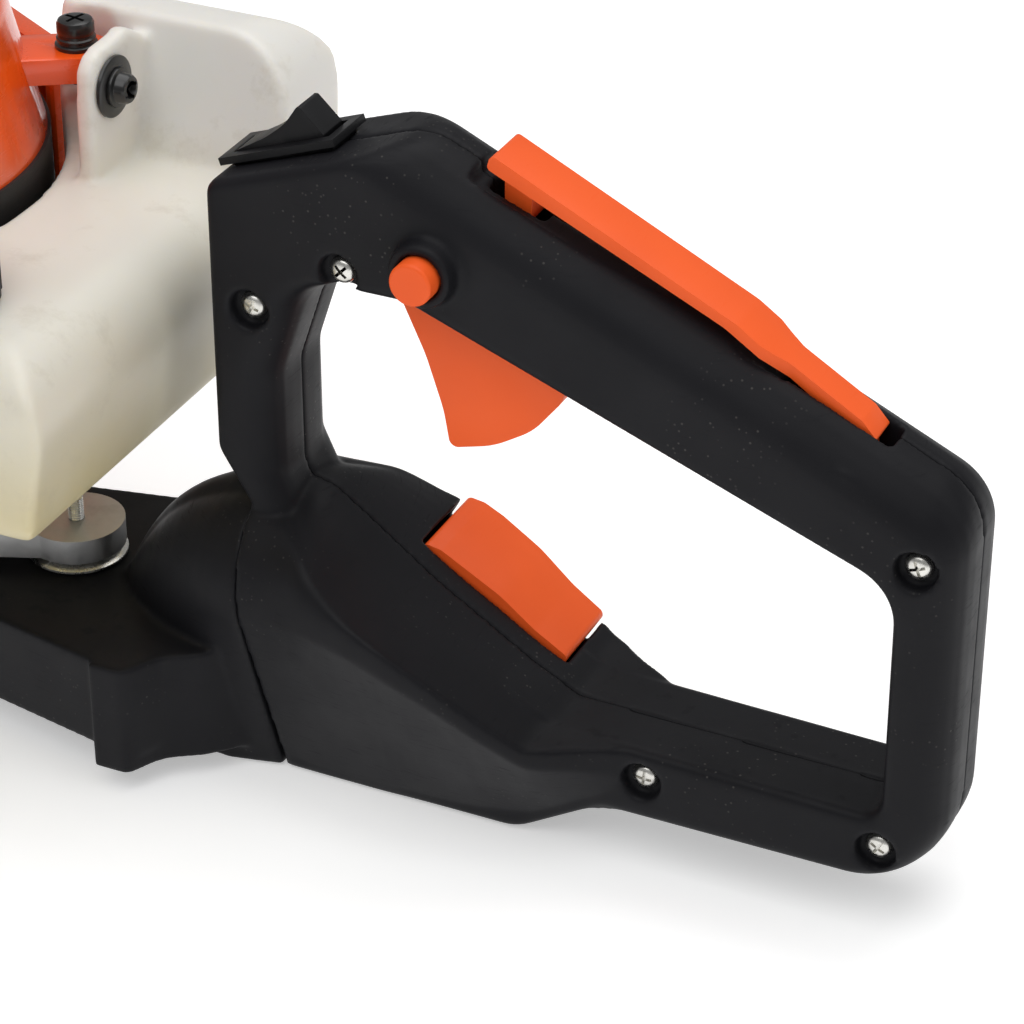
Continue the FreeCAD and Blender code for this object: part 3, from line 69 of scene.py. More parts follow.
@dataclass
class ShaderSheet:
    """A material under construction, with short ways to add its nodes.

    Args:
        name: The material's name.
    """

    name: str
    material: bpy.types.Material = field(init=False)

    def __post_init__(self) -> None:
        """Start from an empty tree with one principled shader."""
        self.material = bpy.data.materials.new(self.name)
        self.material.use_nodes = True
        self.tree = self.material.node_tree
        self.tree.nodes.clear()
        self.output = self.tree.nodes.new("ShaderNodeOutputMaterial")
        self.shader = self.tree.nodes.new("ShaderNodeBsdfPrincipled")
        self.tree.links.new(self.shader.outputs["BSDF"], self.output.inputs["Surface"])
        self.place = self.tree.nodes.new("ShaderNodeTexCoord").outputs["Object"]

    def link(self, source: bpy.types.NodeSocket, target: bpy.types.NodeSocket) -> None:
        """Join two sockets."""
        self.tree.links.new(source, target)

    def set(self, **values: float | tuple[float, ...]) -> None:
        """Set sockets of the principled shader.

        Args:
            values: Socket names with underscores for spaces, and their values.
        """
        for key, value in values.items():
            self.shader.inputs[key.replace("_", " ")].default_value = value

    def stretched(self, scale: tuple[float, float, float]) -> bpy.types.NodeSocket:
        """Object coordinates scaled unevenly, for brushed or drawn patterns.

        Args:
            scale: Scale along each axis.

        Returns:
            The mapped vector socket.
        """
        mapping = self.tree.nodes.new("ShaderNodeMapping")
        mapping.inputs["Scale"].default_value = scale
        self.link(self.place, mapping.inputs["Vector"])
        return mapping.outputs["Vector"]

    def noise(
        self,
        scale: float,
        detail: float = 4.0,
        roughness: float = 0.55,
        at: bpy.types.NodeSocket | None = None,
    ) -> bpy.types.NodeSocket:
        """Noise over the piece.

        Args:
            scale: Cells per metre.
            detail: Octaves.
            roughness: Weight of the finer octaves.
            at: Coordinates, or None for plain object ones.

        Returns:
            The noise value socket.
        """
        node = self.tree.nodes.new("ShaderNodeTexNoise")
        node.inputs["Scale"].default_value = scale
        node.inputs["Detail"].default_value = detail
        node.inputs["Roughness"].default_value = roughness
        self.link(at or self.place, node.inputs["Vector"])
        return node.outputs["Fac"]

    def specks(self, scale: float, size: float) -> bpy.types.NodeSocket:
        """Scattered round specks.

        Args:
            scale: Cells per metre.
            size: Speck radius, in parts of a cell.

        Returns:
            A socket that is 1 on a speck and 0 elsewhere.
        """
        cells = self.tree.nodes.new("ShaderNodeTexVoronoi")
        cells.inputs["Scale"].default_value = scale
        self.link(self.place, cells.inputs["Vector"])
        return self.ramp(cells.outputs["Distance"], (size, 1.0), (size * 1.7, 0.0))

    def ramp(
        self,
        value: bpy.types.NodeSocket,
        low: tuple[float, float],
        high: tuple[float, float],
    ) -> bpy.types.NodeSocket:
        """Map a value onto a range, clamped.

        Args:
            value: The value socket.
            low: Input value and the output it gives.
            high: Input value and the output it gives.

        Returns:
            The mapped socket.
        """
        node = self.tree.nodes.new("ShaderNodeMapRange")
        node.inputs["From Min"].default_value = low[0]
        node.inputs["To Min"].default_value = low[1]
        node.inputs["From Max"].default_value = high[0]
        node.inputs["To Max"].default_value = high[1]
        self.link(value, node.inputs["Value"])
        return node.outputs["Result"]

    def product(
        self, first: bpy.types.NodeSocket, second: bpy.types.NodeSocket
    ) -> bpy.types.NodeSocket:
        """Two values multiplied."""
        node = self.tree.nodes.new("ShaderNodeMath")
        node.operation = "MULTIPLY"
        self.link(first, node.inputs[0])
        self.link(second, node.inputs[1])
        return node.outputs[0]

    def tint(
        self,
        amount: bpy.types.NodeSocket,
        base: bpy.types.NodeSocket | Sequence[float],
        other: Sequence[float],
    ) -> bpy.types.NodeSocket:
        """Blend from one colour to another.

        Args:
            amount: 0 for the base, 1 for the other.
            base: The first colour, or a socket that carries it.
            other: The second colour.

        Returns:
            The blended colour socket.
        """
        node = self.tree.nodes.new("ShaderNodeMix")
        node.data_type = "RGBA"
        self.link(amount, node.inputs["Factor"])
        if isinstance(base, bpy.types.NodeSocket):
            self.link(base, node.inputs[6])
        else:
            node.inputs[6].default_value = (*base, 1.0)
        node.inputs[7].default_value = (*other, 1.0)
        return node.outputs[2]

    def height(self) -> bpy.types.NodeSocket:
        """Height above the ground, in metres."""
        node = self.tree.nodes.new("ShaderNodeSeparateXYZ")
        self.link(self.place, node.inputs[0])
        return node.outputs["Z"]

    def bumps(self, *layers: tuple[bpy.types.NodeSocket, float, float]) -> None:
        """Stack bumps and give them to the shader.

        Args:
            layers: Height socket, depth in metres and strength of each layer.
        """
        last = None
        for value, depth, strength in layers:
            node = self.tree.nodes.new("ShaderNodeBump")
            node.inputs["Distance"].default_value = depth
            node.inputs["Strength"].default_value = strength
            self.link(value, node.inputs["Height"])
            if last is not None:
                self.link(last, node.inputs["Normal"])
            last = node.outputs["Normal"]
        if last is not None:
            self.link(last, self.shader.inputs["Normal"])


Colour = tuple[float, float, float]


@dataclass(frozen=True)
class MouldedPlastic:
    """Injection-moulded plastic with a fine spark grain.

    Args:
        name: Finish name.
        colour: Base colour.
        gloss: Roughness in the smoothest patches.
        grain: Grain depth, in metres.
        dust: How much pale dust lies on it.
        coat: The clear layer over it.
        shine: How strong its highlights are; 0.5 is bare clean plastic.
    """

    name: str
    colour: Colour
    gloss: float = 0.42
    grain: float = 0.00004
    dust: float = 0.0
    coat: Coat = Coat.NONE
    shine: float = 0.5

    def material(self) -> bpy.types.Material:
        """Build the finish."""
        sheet = ShaderSheet(self.name)
        blotch = sheet.noise(14.0, 3.0)
        lighter = tuple(min(1.0, c * 1.22 + 0.002) for c in self.colour)
        colour = sheet.tint(sheet.ramp(blotch, (0.35, 0.0), (0.7, 1.0)), self.colour, lighter)
        if self.dust > 0.0:
            motes = sheet.specks(420.0, 0.10)
            patch = sheet.ramp(sheet.noise(26.0, 2.0), (0.5, 0.0), (0.68, self.dust))
            colour = sheet.tint(sheet.product(motes, patch), colour, (0.45, 0.42, 0.38))
        sheet.link(colour, sheet.shader.inputs["Base Color"])
        hairs = sheet.noise(150.0, 2.0, 0.5, sheet.stretched((1.0, 1.0, 14.0)))
        rubbed = sheet.product(
            sheet.ramp(hairs, (0.62, 1.0), (0.70, 1.22)),
            sheet.ramp(sheet.noise(60.0, 5.0), (0.3, self.gloss), (0.75, self.gloss + 0.12)),
        )
        sheet.link(rubbed, sheet.shader.inputs["Roughness"])
        sheet.set(Coat_Weight=self.coat.value, Coat_Roughness=0.12, IOR=1.49,
                  Specular_IOR_Level=self.shine)
        sheet.bumps(
            (sheet.noise(2600.0, 2.0), self.grain, 0.35),
            (sheet.noise(90.0, 3.0), 0.00008, 0.15),
        )
        return sheet.material


@dataclass(frozen=True)
class BlowMouldedTank:
    """Milky blow-moulded plastic, yellower and darker towards the bottom."""

    name: str = "milky_tank"

    def material(self) -> bpy.types.Material:
        """Build the finish."""
        sheet = ShaderSheet(self.name)
        # colour runs yellower and darker towards the bottom of the tank
        rise = sheet.ramp(sheet.height(), (0.108, 1.0), (0.172, 0.0))
        cloud = sheet.ramp(sheet.noise(22.0, 3.0), (0.3, 0.75), (0.7, 1.0))
        colour = sheet.tint(sheet.product(rise, cloud), (0.84, 0.81, 0.75), (0.60, 0.51, 0.27))
        smudge = sheet.ramp(sheet.noise(48.0, 6.0, 0.7), (0.56, 0.0), (0.74, 0.35))
        colour = sheet.tint(smudge, colour, (0.50, 0.44, 0.34))
        sheet.link(colour, sheet.shader.inputs["Base Color"])
        rough = sheet.ramp(sheet.noise(35.0, 4.0), (0.3, 0.30), (0.7, 0.44))
        sheet.link(rough, sheet.shader.inputs["Roughness"])
        sheet.set(
            Subsurface_Weight=0.35,
            Subsurface_Radius=(0.9, 0.75, 0.5),
            Subsurface_Scale=0.006,
            IOR=1.5,
        )
        sheet.bumps((sheet.noise(55.0, 4.0), 0.0006, 0.16), (sheet.noise(900.0, 2.0), 0.00004, 0.2))
        return sheet.material


@dataclass(frozen=True)
class PlatedSteel:
    """Zinc-plated or bare steel with fine rolling marks.

    Args:
        name: Finish name.
        colour: Metal colour.
        gloss: Roughness.
        drawn: Stretch of the brush marks along each axis.
        stain: How much darker the worn patches are.
    """

    name: str
    colour: Colour = (0.62, 0.61, 0.58)
    gloss: float = 0.22
    drawn: tuple[float, float, float] = (1.0, 1.0, 1.0)
    stain: float = 0.25

    def material(self) -> bpy.types.Material:
        """Build the finish."""
        sheet = ShaderSheet(self.name)
        sheet.set(Metallic=1.0)
        darker = tuple(c * 0.55 for c in self.colour)
        worn = sheet.ramp(sheet.noise(160.0, 5.0), (0.45, 0.0), (0.75, self.stain * 2.0))
        sheet.link(sheet.tint(worn, self.colour, darker), sheet.shader.inputs["Base Color"])
        lines = sheet.noise(320.0, 4.0, 0.6, sheet.stretched(self.drawn))
        rough = sheet.ramp(lines, (0.3, self.gloss), (0.7, self.gloss + 0.16))
        sheet.link(rough, sheet.shader.inputs["Roughness"])
        sheet.bumps((lines, 0.00003, 0.4))
        return sheet.material


@dataclass(frozen=True)
class SandCast:
    """Die-cast or sand-cast metal with a pebbled skin.

    Args:
        name: Finish name.
        colour: Metal colour.
        gloss: Roughness.
        pits: Depth of the pebbling, in metres.
    """

    name: str
    colour: Colour = (0.42, 0.42, 0.42)
    gloss: float = 0.46
    pits: float = 0.00022

    def material(self) -> bpy.types.Material:
        """Build the finish."""
        sheet = ShaderSheet(self.name)
        sheet.set(Metallic=1.0)
        darker = tuple(c * 0.6 for c in self.colour)
        grime = sheet.ramp(sheet.noise(70.0, 6.0, 0.65), (0.50, 0.0), (0.80, 0.6))
        sheet.link(sheet.tint(grime, self.colour, darker), sheet.shader.inputs["Base Color"])
        rough = sheet.ramp(sheet.noise(240.0, 4.0), (0.3, self.gloss), (0.7, self.gloss + 0.2))
        sheet.link(rough, sheet.shader.inputs["Roughness"])
        sheet.bumps((sheet.noise(620.0, 4.0, 0.6), self.pits, 0.5))
        return sheet.material


@dataclass(frozen=True)
class DullRubber:
    """Soft black rubber with a matt bloom."""

    name: str = "black_rubber"

    def material(self) -> bpy.types.Material:
        """Build the finish."""
        sheet = ShaderSheet(self.name)
        bloom = sheet.ramp(sheet.noise(110.0, 5.0), (0.4, 0.0), (0.75, 0.6))
        colour = sheet.tint(bloom, (0.011, 0.011, 0.012), (0.032, 0.031, 0.03))
        sheet.link(colour, sheet.shader.inputs["Base Color"])
        sheet.link(sheet.ramp(bloom, (0.0, 0.55), (0.6, 0.78)), sheet.shader.inputs["Roughness"])
        sheet.bumps((sheet.noise(1500.0, 3.0), 0.00005, 0.4))
        return sheet.material


BLACK_MOULDING = MouldedPlastic("black_moulding", (0.0072, 0.0072, 0.0090), 0.43, dust=0.10, shine=0.15)
SWITCH_BLACK = MouldedPlastic("switch_black", (0.0065, 0.0065, 0.0075), 0.36, shine=0.22)
DARK_PLASTIC = MouldedPlastic("dark_plastic", (0.016, 0.015, 0.015), 0.45, dust=0.08, shine=0.25)
ORANGE_CONTROL = MouldedPlastic("orange_control", (0.88, 0.105, 0.014), 0.40, grain=0.00002, shine=0.3)
ORANGE_COVER = MouldedPlastic("orange_cover", (0.80, 0.085, 0.004), 0.22, grain=0.0, coat=Coat.FULL)
MILKY_TANK = BlowMouldedTank()
BRIGHT_ZINC = PlatedSteel("bright_zinc", (0.72, 0.71, 0.67), 0.20)
GROUND_STEEL = PlatedSteel("ground_steel", (0.55, 0.55, 0.55), 0.26, (0.08, 1.0, 1.0))
CAST_ALUMINIUM = SandCast("cast_aluminium", (0.62, 0.62, 0.62), 0.38, 0.00014)
BLACK_STEEL = MouldedPlastic("black_steel", (0.006, 0.006, 0.006), 0.26, grain=0.00002, coat=Coat.THIN)
RUBBER = DullRubber()

Finish = MouldedPlastic | BlowMouldedTank | PlatedSteel | SandCast | DullRubber


class Paintbox:
    """Builds each finish once and hands out its material."""

    def __init__(self) -> None:
        """Start with nothing built."""
        self._made: dict[str, bpy.types.Material] = {}

    def get(self, finish: Finish) -> bpy.types.Material:
        """Material of a finish.

        Args:
            finish: The finish.

        Returns:
            Its material, built on first use.
        """
        if finish.name not in self._made:
            self._made[finish.name] = finish.material()
        return self._made[finish.name]


PAINT = Paintbox()


# --------------------------------------------------------------------------- mesh tools


def pick(obj: bpy.types.Object) -> None:
    """Make one object the only one selected, and active."""
    bpy.ops.object.select_all(action="DESELECT")
    obj.select_set(True)
    bpy.context.view_layer.objects.active = obj


def dress(obj: bpy.types.Object, finish: Finish) -> None:
    """Give an object one finish all over.

    Args:
        obj: The object.
        finish: Its finish.
    """
    obj.data.materials.clear()
    obj.data.materials.append(PAINT.get(finish))


def dress_node(node: str, finish: Finish) -> None:
    """Give a frame node a finish through its own material slots."""
    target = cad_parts[node]
    if not target.material_slots:
        target.data.materials.append(None)
    for place in target.material_slots:
        place.material = PAINT.get(finish)


def applied(obj: bpy.types.Object, kind: str, **settings: object) -> None:
    """Add a modifier, set it and apply it.

    Args:
        obj: The object.
        kind: Modifier type.
        settings: Its properties.
    """
    pick(obj)
    modifier = obj.modifiers.new(kind.title(), kind)
    for key, value in settings.items():
        setattr(modifier, key, value)
    bpy.ops.object.modifier_apply(modifier=modifier.name)


def smooth_by_angle(obj: bpy.types.Object, degrees: float = 35.0) -> None:
    """Shade smooth, keeping edges sharper than an angle."""
    pick(obj)
    bpy.ops.object.shade_smooth_by_angle(angle=math.radians(degrees))


def traced(node: str, name: str) -> bpy.types.Object:
    """A merged copy of a frame node's mesh, to be refined into a piece that replaces it.

    Args:
        node: The frame node.
        name: The new piece's name.

    Returns:
        The new object.
    """
    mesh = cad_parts[node].data.copy()
    mesh.name = name
    obj = bpy.data.objects.new(name, mesh)
    bpy.context.scene.collection.objects.link(obj)
    pick(obj)
    if mesh.has_custom_normals:
        bpy.ops.mesh.customdata_custom_splitnormals_clear()
    bpy.ops.object.mode_set(mode="EDIT")
    bpy.ops.mesh.select_all(action="SELECT")
    bpy.ops.mesh.remove_doubles(threshold=0.00001)
    bpy.ops.mesh.dissolve_limited(angle_limit=math.radians(1.0))
    bpy.ops.object.mode_set(mode="OBJECT")
    return obj


def seated(obj: bpy.types.Object, body: str, nodes: Sequence[str], finish: Finish) -> None:
    """Finish a piece: dress it, let it ride on its body and stand for its nodes.

    Args:
        obj: The piece.
        body: The frame body it rides on.
        nodes: The frame nodes it replaces, if any.
        finish: Its finish.
    """
    dress(obj, finish)
    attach(obj, body)
    if nodes:
        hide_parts(*nodes)
    LOG.info("%s rides on %s", obj.name, body)


def edge_rounded(
    node: str, name: str, width: float, segments: int = 3, angle: float = 28.0
) -> bpy.types.Object:
    """A copy of a node with every sharp edge rounded.

    Args:
        node: The frame node.
        name: The new piece's name.
        width: Rounding width, in mm.
        segments: Facets across each rounding.
        angle: Edges sharper than this are rounded, in degrees.

    Returns:
        The new object.
    """
    obj = traced(node, name)
    applied(
        obj,
        "BEVEL",
        width=width * MM,
        segments=segments,
        limit_method="ANGLE",
        angle_limit=math.radians(angle),
        use_clamp_overlap=True,
        miter_outer="MITER_ARC",
    )
    smooth_by_angle(obj, 40.0)
    return obj


def skinned(node: str, name: str, voxel: float, passes: int) -> bpy.types.Object:
    """A copy of a node remeshed evenly and relaxed, so its edges melt like a moulding's.

    Args:
        node: The frame node.
        name: The new piece's name.
        voxel: Remesh size, in mm.
        passes: Smoothing passes.

    Returns:
        The new object.
    """
    obj = traced(node, name)
    applied(obj, "REMESH", mode="VOXEL", voxel_size=voxel * MM, adaptivity=0.0)
    applied(obj, "SMOOTH", factor=0.5, iterations=passes)
    smooth_by_angle(obj, 60.0)
    return obj


def lathe(
    name: str, profile: Sequence[tuple[float, float]], base: Vector, axis: Vector, steps: int = 40
) -> bpy.types.Object:
    """A turned piece: a profile spun about an axis.

    Args:
        name: The piece's name.
        profile: Radius and height points, in mm, from the foot to the crown.
        base: Where height 0 is, in metres.
        axis: Direction of increasing height.
        steps: Facets round the axis.

    Returns:
        The new object.
    """
    bpy.ops.object.select_all(action="DESELECT")
    mesh = bpy.data.meshes.new(name)
    points = [(radius * MM, 0.0, height * MM) for radius, height in profile]
    mesh.from_pydata(points, [(i, i + 1) for i in range(len(points) - 1)], [])
    obj = bpy.data.objects.new(name, mesh)
    bpy.context.scene.collection.objects.link(obj)
    pick(obj)
    bpy.ops.object.mode_set(mode="EDIT")
    bpy.ops.mesh.select_all(action="SELECT")
    bpy.ops.mesh.spin(
        steps=steps, angle=math.tau, center=(0, 0, 0), axis=(0, 0, 1), use_auto_merge=True
    )
    bpy.ops.mesh.select_all(action="SELECT")
    bpy.ops.mesh.remove_doubles(threshold=0.000005)
    bpy.ops.mesh.normals_make_consistent(inside=False)
    bpy.ops.object.mode_set(mode="OBJECT")
    turn = Vector((0, 0, 1)).rotation_difference(axis.normalized()).to_matrix().to_4x4()
    mesh.transform(Matrix.Translation(base) @ turn)
    smooth_by_angle(obj, 38.0)
    return obj


def block(name: str, low: Vector, high: Vector) -> bpy.types.Object:
    """A box between two corners, ready to be cut or shaped."""
    bpy.ops.object.select_all(action="DESELECT")
    bpy.ops.mesh.primitive_cube_add(size=1.0, location=(0, 0, 0))
    obj = bpy.context.active_object
    obj.name = name
    size = high - low
    middle = (high + low) / 2.0
    obj.data.transform(Matrix.Translation(middle) @ Matrix.Diagonal((*size, 1.0)))
    return obj


def carved(obj: bpy.types.Object, cutter: bpy.types.Object) -> None:
    """Cut one object out of another and discard the cutter."""
    applied(obj, "BOOLEAN", operation="DIFFERENCE", object=cutter, solver="EXACT")
    bpy.data.objects.remove(cutter, do_unlink=True)


def joined(name: str, parts: Sequence[bpy.types.Object]) -> bpy.types.Object:
    """Join several objects into one.

    Args:
        name: The joined piece's name.
        parts: The objects.

    Returns:
        The one object left.
    """
    bpy.ops.object.select_all(action="DESELECT")
    for part in parts:
        part.select_set(True)
    bpy.context.view_layer.objects.active = parts[0]
    bpy.ops.object.join()
    parts[0].name = name
    return parts[0]


# --------------------------------------------------------------------------- sub-assemblies


@dataclass
class RearHandle:
    """The two moulded halves of the D-handle and their screws.

    Args:
        half_width: Half the handle's thickness, in mm.
        voxel: Remesh size of the moulded skin, in mm.
        screw_places: Where the screws sit, in the handle's datum, in mm.
    """

    half_width: float = 19.4
    voxel: float = 0.9
    screw_places: tuple[tuple[float, float], ...] = (
        (-73.0, 57.8),
        (-44.3, 75.0),
        (126.5, 23.5),
        (49.5, -67.4),
        (120.6, -69.9),
    )

    def build(self) -> None:
        """Build and dress the handle."""
        for side in ("left", "right"):
            node = f"handle_{side}_half"
            shell = skinned(node, f"moulded_{node}", self.voxel, 6)
            seated(shell, "rear_handle", [node], BLACK_MOULDING)
        self.screws()

    def screws(self) -> None:
        """Pan heads with a cross recess, seated in their pockets."""
        heads = [self.screw(x, z, 20.0 + 25.0 * i) for i, (x, z) in enumerate(self.screw_places)]
        seated(
            joined("cross_head_screws", heads), "rear_handle", ["handle_screws"], BRIGHT_ZINC
        )

    def screw(self, x: float, z: float, turn: float) -> bpy.types.Object:
        """One screw.

        Args:
            x: Place along the handle, in mm.
            z: Height, in mm.
            turn: How far its cross is turned, in degrees.

        Returns:
            The screw.
        """
        profile = [(1.5, -16.0), (1.5, 0.0), (3.9, 0.0), (4.0, 0.5), (3.85, 1.2), (3.2, 2.0),
                   (2.2, 2.45), (1.1, 2.6), (0.0, 2.62)]
        base = handle_point(x, 5.0 - self.half_width, z)
        head = lathe("cross_head", profile, base, Vector((0, -1, 0)))
        for quarter in (0.0, 90.0):
            slot = block("slot", Vector((-2.3, -4.0, -0.45)) * MM, Vector((2.3, -1.25, 0.45)) * MM)
            spin = Matrix.Rotation(math.radians(turn + quarter), 4, "Y")
            slot.data.transform(Matrix.Translation(base) @ spin)
            carved(head, slot)
        smooth_by_angle(head, 38.0)
        return head


@dataclass
class Controls:
    """Trigger, lockout lever, hold button, rotation release and stop switch."""

    def build(self) -> None:
        """Build and dress the controls."""
        for node, body, name, width in (
            ("throttle_trigger", "trigger", "finger_trigger", 1.2),
            ("lockout_lever", "lever", "palm_lever", 0.8),
            ("throttle_hold_button", "hold_button", "hold_push_button", 0.5),
            ("rotation_release_lever", "release_lever", "release_paddle", 1.0),
        ):
            piece = edge_rounded(node, name, width)
            seated(piece, body, [node], ORANGE_CONTROL)
        for node, body, name in (
            ("switch_bezel", "rear_handle", "switch_frame"),
            ("switch_rocker", "rocker", "switch_paddle"),
        ):
            piece = edge_rounded(node, name, 0.4)
            seated(piece, body, [node], SWITCH_BLACK)


@dataclass
class RearBracket:
    """Black bracket with the domed end and the rubber-mounted arm on it.

    Args:
        voxel: Remesh size of the moulded skin, in mm.
        stud_place: Centre of the rear mount, in metres.
        thread_pitch: Pitch of the stud, in mm.
    """

    voxel: float = 0.8
    stud_place: Vector = field(default_factory=lambda: Vector((0.095, 0.0025, 0.0)))
    thread_pitch: float = 0.8

    def build(self) -> None:
        """Build and dress the bracket, its washer and its stud."""
        shell = skinned("rear_bracket", "moulded_bracket", self.voxel, 12)
        seated(shell, "chassis", ["rear_bracket"], BLACK_MOULDING)
        self.washer()
        self.stud()

    def washer(self) -> None:
        """Pressed washer with a rolled rim."""
        profile = [(2.6, 0.5), (15.0, 0.5), (15.5, 0.9), (15.4, 1.5), (14.6, 2.1), (12.4, 3.1),
                   (10.2, 3.7), (2.6, 3.7), (2.6, 0.5)]
        base = self.stud_place + Vector((0, 0, 0.0435))
        piece = lathe("pressed_washer", profile, base, Vector((0, 0, 1)), 64)
        seated(piece, "chassis", ["mount_washer"], BRIGHT_ZINC)

    def stud(self) -> None:
        """Threaded stud with a nut under the plate."""
        radius = 2.4
        profile: list[tuple[float, float]] = [(0.0, 36.0), (4.4, 36.0), (4.4, 39.6), (radius, 39.9)]
        height = 44.0
        while height < 62.4:
            profile += [(radius - 0.36, height), (radius, height + self.thread_pitch * 0.5)]
            height += self.thread_pitch
        profile += [(radius - 0.5, 63.2), (0.0, 63.4)]
        piece = lathe("threaded_stud", profile, self.stud_place.copy(), Vector((0, 0, 1)), 32)
        seated(piece, "chassis", ["mount_stud"], BRIGHT_ZINC)


@dataclass
class FuelTank:
    """Blow-moulded tank with its lug, washer, screw and cap.

    Args:
        voxel: Remesh size, in mm.
        lug: Where the lug's washer sits, in metres.
    """

    voxel: float = 1.2
    lug: Vector = field(default_factory=lambda: Vector((0.097, 0.0356, 0.1867)))

    def build(self) -> None:
        """Build and dress the tank and what is on it."""
        shell = skinned("fuel_tank", "blown_tank", self.voxel, 14)
        seated(shell, "chassis", ["fuel_tank"], MILKY_TANK)
        self.washer()
        cap = edge_rounded("fuel_cap", "fluted_cap", 0.6)
        seated(cap, "cap", ["fuel_cap"], DARK_PLASTIC)

    def washer(self) -> None:
        """Wide black washer and the flange screw through it."""
        ring = lathe(
            "lug_washer",
            [(2.6, 0.05), (9.2, 0.05), (9.5, 0.4), (9.4, 1.2), (8.8, 1.55), (2.6, 1.55), (2.6, 0.05)],
            self.lug,
            Vector((1, 0, 0)),
            56,
        )
        seated(ring, "chassis", ["tank_washer"], BLACK_STEEL)
        profile = [(2.4, -5.5), (2.4, 1.6), (6.0, 1.6), (6.2, 2.1), (6.0, 2.8), (4.8, 3.1), (4.6, 3.4),
                   (4.5, 5.6), (4.0, 6.4), (2.8, 6.55), (2.4, 5.2), (0.0, 5.0)]
        screw = lathe("flange_screw", profile, self.lug, Vector((1, 0, 0)), 48)
        for quarter in (0.0, 90.0):
            slot = block("slot", Vector((3.6, -3.4, -0.6)) * MM, Vector((9.0, 3.4, 0.6)) * MM)
            spin = Matrix.Rotation(math.radians(22.0 + quarter), 4, "X")
            slot.data.transform(Matrix.Translation(self.lug) @ spin)
            carved(screw, slot)
        smooth_by_angle(screw, 38.0)
        seated(screw, "chassis", ["tank_screw"], BLACK_STEEL)


@dataclass
class EngineCovers:
    """Orange covers, the dark volute under them and the screws on the ears.

    Args:
        ears: Where the cover's ears are, in mm.
        ear_top: Height of the ears' tops, in mm.
    """

    ears: tuple[tuple[float, float], ...] = ((77.5, 48.3), (-20.0, 89.0), (-85.0, -34.0), (30.0, -86.5))
    ear_top: float = 191.0

    def build(self) -> None:
        """Build and dress the covers."""
        for node, name in (
            ("starter_housing", "starter_cover"),
            ("muffler_guard", "slotted_guard"),
            ("cylinder_cover", "cylinder_hood"),
        ):
            seated(edge_rounded(node, name, 0.8, 2), "chassis", [node], ORANGE_COVER)
        dress_node("fan_base", DARK_PLASTIC)
        self.screws()

    def screws(self) -> None:
        """Black screws with a ribbed collar and a cross recess."""
        profile = [(2.3, -11.8), (2.3, 0.0), (6.4, 0.0), (6.6, 0.5), (6.5, 1.2), (5.6, 1.7), (5.5, 2.2),
                   (6.0, 2.6), (6.0, 3.2), (5.5, 3.6), (5.4, 4.4), (5.7, 4.8), (5.7, 7.6),
                   (5.2, 8.6), (4.0, 9.0), (0.0, 9.1)]
        heads = []
        for x, y in self.ears:
            base = Vector((x, y, self.ear_top)) * MM
            head = lathe("collared_screw", profile, base, Vector((0, 0, 1)), 40)
            for turn in (x, x + 90.0):
                slot = block("slot", Vector((-3.6, -0.6, 7.0)) * MM, Vector((3.6, 0.6, 10.0)) * MM)
                slot.data.transform(
                    Matrix.Translation(base) @ Matrix.Rotation(math.radians(turn), 4, "Z")
                )
                carved(head, slot)
            smooth_by_angle(head, 38.0)
            heads.append(head)
        piece = joined("collared_screws", heads)
        seated(piece, "chassis", ["housing_screws"], BLACK_STEEL)


@dataclass
class FrameNodes:
    """Nodes whose own shape stays, each with its finish."""

    finishes: tuple[tuple[Finish, tuple[str, ...]], ...] = (
        (DARK_PLASTIC, ("air_filter_cover", "hand_guard", "starter_grip", "choke_lever", "starter_pulley")),
        (BRIGHT_ZINC, ("buffer_studs", "blade_bolts", "blade_nuts", "clamp_screws", "gearcase_screws")),
        (CAST_ALUMINIUM, ("gearcase", "gearcase_cover", "crankcase", "cylinder", "carburettor",
                          "handle_clamps", "flywheel")),
        (GROUND_STEEL, ("swivel_hub", "clutch_drum", "drive_gear", "gear_axle", "crankshaft",
                        "drum_bearing", "crank_bearings", "clutch_shoes", "ignition_coil",
                        "spark_plug", "trigger_pin", "lever_pin", "lower_blade", "upper_blade",
                        "guide_bar")),
        (BLACK_STEEL, ("muffler", "front_handle")),
        (RUBBER, ("buffers", "plug_cap", "primer_bulb", "grip_sleeve")),
    )

    def build(self) -> None:
        """Dress the nodes."""
        for finish, nodes in self.finishes:
            for node in nodes:
                dress_node(node, finish)
                LOG.info("%s keeps its own shape", node)


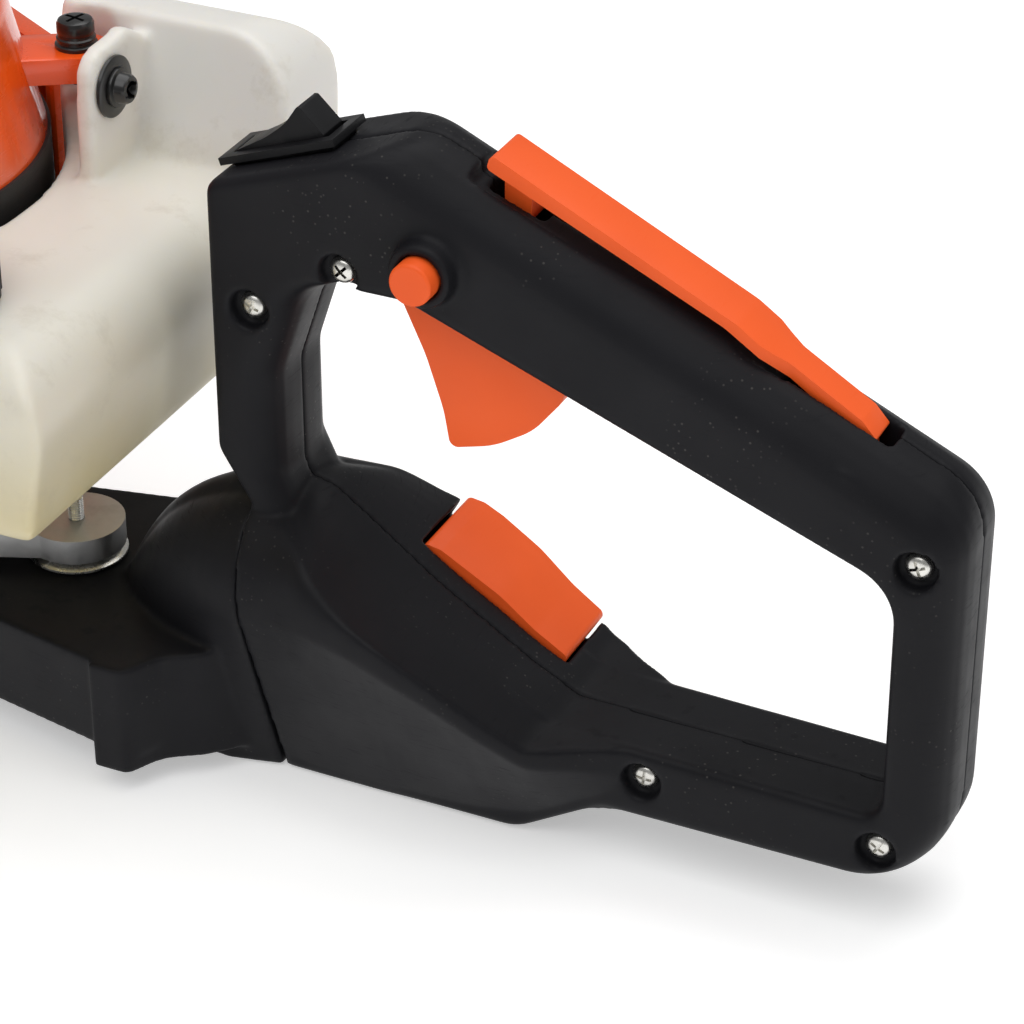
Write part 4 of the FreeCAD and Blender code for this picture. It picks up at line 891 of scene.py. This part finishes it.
@dataclass
class Studio:
    """Camera, pale floor and soft lights.

    Args:
        azimuth: Camera's turn from straight left, towards the rear, in degrees.
        elevation: Camera's height angle, in degrees.
        distance: Camera's distance from its target, in metres.
        lens: Focal length on a 36 mm sensor.
        softboxes: Name, place in metres, side in metres and power in watts of each light.
        surround: Brightness of the even surround.
        floor_glow: How much the floor is lifted towards white.
    """

    azimuth: float = 25.0
    elevation: float = 31.0
    distance: float = 1.0
    lens: float = 123.05
    softboxes: tuple[tuple[str, tuple[float, float, float], float, float], ...] = (
        ("key_softbox", (0.1, -1.1, 1.9), 1.6, 15.0),
        ("top_softbox", (0.3, 0.7, 2.3), 2.2, 27.0),
        ("rear_softbox", (1.9, 0.1, 1.3), 1.4, 5.0),
    )
    surround: float = 0.30
    floor_glow: float = 0.40

    def build(self) -> None:
        """Set up camera, floor, lights and world."""
        self.camera()
        self.floor()
        for name, place, size, power in self.softboxes:
            self.light(name, place, size, power)
        self.world(self.surround)
        bpy.context.scene.view_settings.view_transform = "Standard"

    def camera(self) -> None:
        """Camera on the handle's middle."""
        a = math.radians(self.azimuth)
        e = math.radians(self.elevation)
        away = Vector((math.sin(a) * math.cos(e), -math.cos(a) * math.cos(e), math.sin(e)))
        data = bpy.data.cameras.new("studio_camera")
        data.lens = self.lens
        data.sensor_width = 36.0
        obj = bpy.data.objects.new("studio_camera", data)
        bpy.context.scene.collection.objects.link(obj)
        obj.location = HANDLE_DATUM + away * self.distance
        obj.rotation_euler = away.to_track_quat("Z", "Y").to_euler()
        bpy.context.scene.camera = obj

    def floor(self) -> None:
        """Wide pale floor."""
        bpy.ops.object.select_all(action="DESELECT")
        bpy.ops.mesh.primitive_plane_add(size=30.0, location=(0, 0, -0.0005))
        obj = bpy.context.active_object
        obj.name = "studio_floor"
        sheet = ShaderSheet("pale_floor")
        sheet.set(Base_Color=(0.9, 0.9, 0.9, 1.0), Roughness=0.9, Emission_Color=(1, 1, 1, 1),
                  Emission_Strength=self.floor_glow)
        obj.data.materials.append(sheet.material)

    def light(self, name: str, place: tuple[float, float, float], size: float, power: float) -> None:
        """One square softbox aimed at the handle.

        Args:
            name: The light's name.
            place: Where it hangs, in metres.
            size: Its side, in metres.
            power: Its power, in watts.
        """
        data = bpy.data.lights.new(name, "AREA")
        data.size = size
        data.energy = power
        obj = bpy.data.objects.new(name, data)
        bpy.context.scene.collection.objects.link(obj)
        obj.location = place
        aim = Vector(place) - HANDLE_DATUM
        obj.rotation_euler = aim.to_track_quat("Z", "Y").to_euler()

    def world(self, strength: float) -> None:
        """Even grey-white surround.

        Args:
            strength: Its brightness.
        """
        world = bpy.data.worlds.new("studio_world")
        world.use_nodes = True
        world.node_tree.nodes["Background"].inputs["Color"].default_value = (1, 1, 1, 1)
        world.node_tree.nodes["Background"].inputs["Strength"].default_value = strength
        bpy.context.scene.world = world


def main() -> None:
    """Build every sub-assembly in order, then the studio."""
    logging.basicConfig(level=logging.INFO, format="%(name)s: %(message)s")
    for part in (RearHandle(), Controls(), RearBracket(), FuelTank(), EngineCovers(), FrameNodes(), Studio()):
        LOG.info("building %s", type(part).__name__)
        part.build()


if __name__ == "__main__":
    main()
